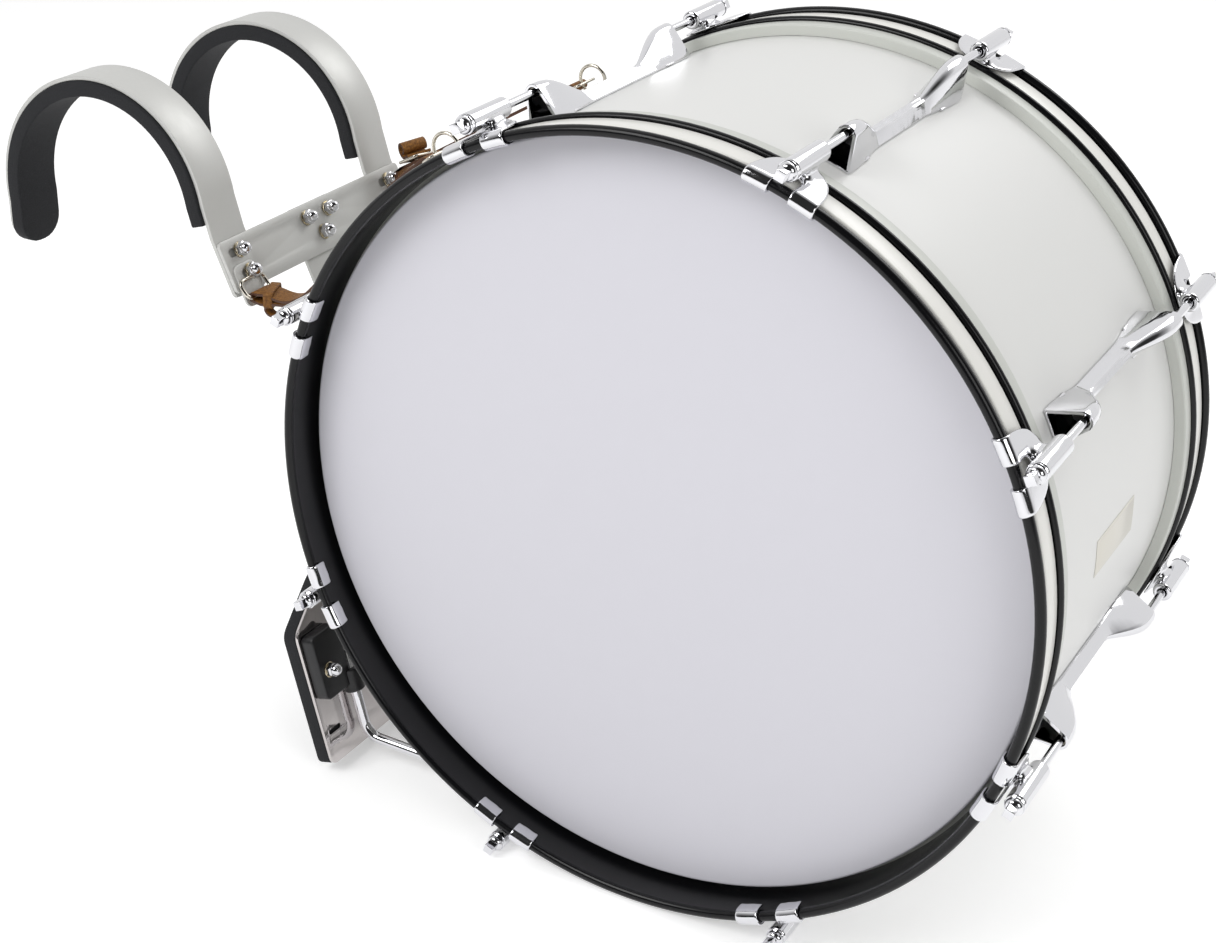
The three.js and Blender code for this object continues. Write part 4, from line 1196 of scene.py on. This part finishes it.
def make_straps():
    rail_reach = RAIL_WIRE + GAP + LAYER / 2
    link_reach = LINK_WIRE + LINK_GAP + LAYER / 2
    for side, y, end, way, start in STRAPS:
        way = from_axis(way)
        run = (RING_CENTRE - way[-1]).normalized()
        over = Vector((-run.z, 0, run.x))
        link = RING_CENTRE - run * (RING_RADIUS + LINK_LENGTH / 2)
        round_rail = half_turn(RAIL, rail_reach, start)
        round_link = half_turn(link, link_reach, math.atan2(over.z, over.x))
        tail = [round_link[-1] - run * TAIL_NEAR, round_link[-1] - run * TAIL_FAR + over * TAIL_LIFT]
        back = flowing([*from_axis(end), round_rail[0]], 5)[:-1]
        main = flowing([round_rail[-1], *way, round_link[0]], 6)[1:-1]
        path = [*back, *round_rail, *main, *round_link, *tail]
        strap = ribbon("strap", leather, path, STRAP_WIDTH, LAYER, ends=(3 * MM, 3 * MM), bevel=0.5 * MM)
        more = make_keeper() if side == "front" else make_buckle()
        aside = Matrix.Translation((0, y, 0))
        parts = [moved(edged(strap), aside), moved(more, aside), make_eye("eye", y, run)]
        settle(join("strap_%s_leather" % side, *parts), ROOT, "leather", "strap_" + side)


make_straps()


# Studio: pale floor, three soft lamps and a bright surround
LAMPS = (  # name, place from the drum's middle and size, in metres, and power in watts
    ("key_lamp", (-1.2, -2.2, 2.0), 1.6, 45),
    ("fill_lamp", (2.4, -1.4, 1.0), 1.4, 18),
    ("back_lamp", (0.6, 2.0, 2.2), 1.6, 25),
)
FLOOR_SIZE, FLOOR_DROP, FLOOR_GLOW = 12, 0.5 * MM, 0.35
ROOM_SIDE = 0.5, -0.83, 0.25


def add_lamp(name, offset, size, power):
    """A soft lamp that looks at the drum's middle."""
    bpy.ops.object.light_add(type="AREA", location=AXIS + Vector(offset))
    lamp = bpy.context.object
    lamp.name = name
    lamp.data.size = size
    lamp.data.energy = power
    lamp.rotation_euler = (-Vector(offset)).to_track_quat("-Z", "Y").to_euler()


def add_floor():
    """A pale floor, with a faint glow that only the camera and mirrors see."""
    bpy.ops.mesh.primitive_plane_add(size=FLOOR_SIZE, location=(0, 0, -FLOOR_DROP))
    floor = bpy.context.object
    floor.name = "studio_floor"
    material, shader = new_material("pale_floor", "#F2F2F2", 0.9)
    output = material.node_tree.nodes["Material Output"]
    path = add_node(material, "ShaderNodeLightPath")
    seen = add_node(
        material, "ShaderNodeMath", {"operation": "MAXIMUM"},
        {0: path.outputs["Is Camera Ray"], 1: path.outputs["Is Glossy Ray"]},
    )
    glow = add_node(material, "ShaderNodeEmission", {"Color": (1, 1, 1, 1), "Strength": FLOOR_GLOW})
    add = add_node(
        material, "ShaderNodeAddShader", {}, {0: shader.outputs["BSDF"], 1: glow.outputs["Emission"]}
    )
    mix = add_node(
        material, "ShaderNodeMixShader", {},
        {"Fac": seen.outputs["Value"], 1: shader.outputs["BSDF"], 2: add.outputs["Shader"]},
    )
    material.node_tree.links.new(mix.outputs["Shader"], output.inputs["Surface"])
    floor.data.materials.append(material)


def add_surround():
    """White behind and round the object. Glossy finishes also see the dim room on the camera's side."""
    world = bpy.data.worlds.new("bright_surround")
    bpy.context.scene.world = world
    world.use_nodes = True
    background = world.node_tree.nodes["Background"]
    background.inputs["Color"].default_value = (1, 1, 1, 1)
    path = add_node(world, "ShaderNodeLightPath")
    place = add_node(world, "ShaderNodeTexCoord")
    front = add_node(
        world, "ShaderNodeVectorMath", {"operation": "DOT_PRODUCT", 1: ROOM_SIDE},
        {0: place.outputs["Generated"]},
    )
    dim = add_node(
        world, "ShaderNodeMapRange", {"From Min": -0.1, "From Max": 0.35, "To Min": 0.95, "To Max": 0.03},
        {"Value": front.outputs["Value"]},
    )
    glossy = add_node(
        world, "ShaderNodeMix", {2: 0.55},
        {"Factor": path.outputs["Is Glossy Ray"], 3: dim.outputs["Result"]},
    )
    seen = add_node(
        world, "ShaderNodeMath", {"operation": "MAXIMUM"},
        {0: path.outputs["Is Camera Ray"], 1: path.outputs["Is Transmission Ray"]},
    )
    strength = add_node(
        world, "ShaderNodeMix", {3: 1}, {"Factor": seen.outputs["Value"], 2: glossy.outputs["Result"]}
    )
    world.node_tree.links.new(strength.outputs["Result"], background.inputs["Strength"])


add_floor()
add_surround()
for lamp in LAMPS:
    add_lamp(*lamp)
bpy.context.scene.view_settings.view_transform = "Standard"

deselect()
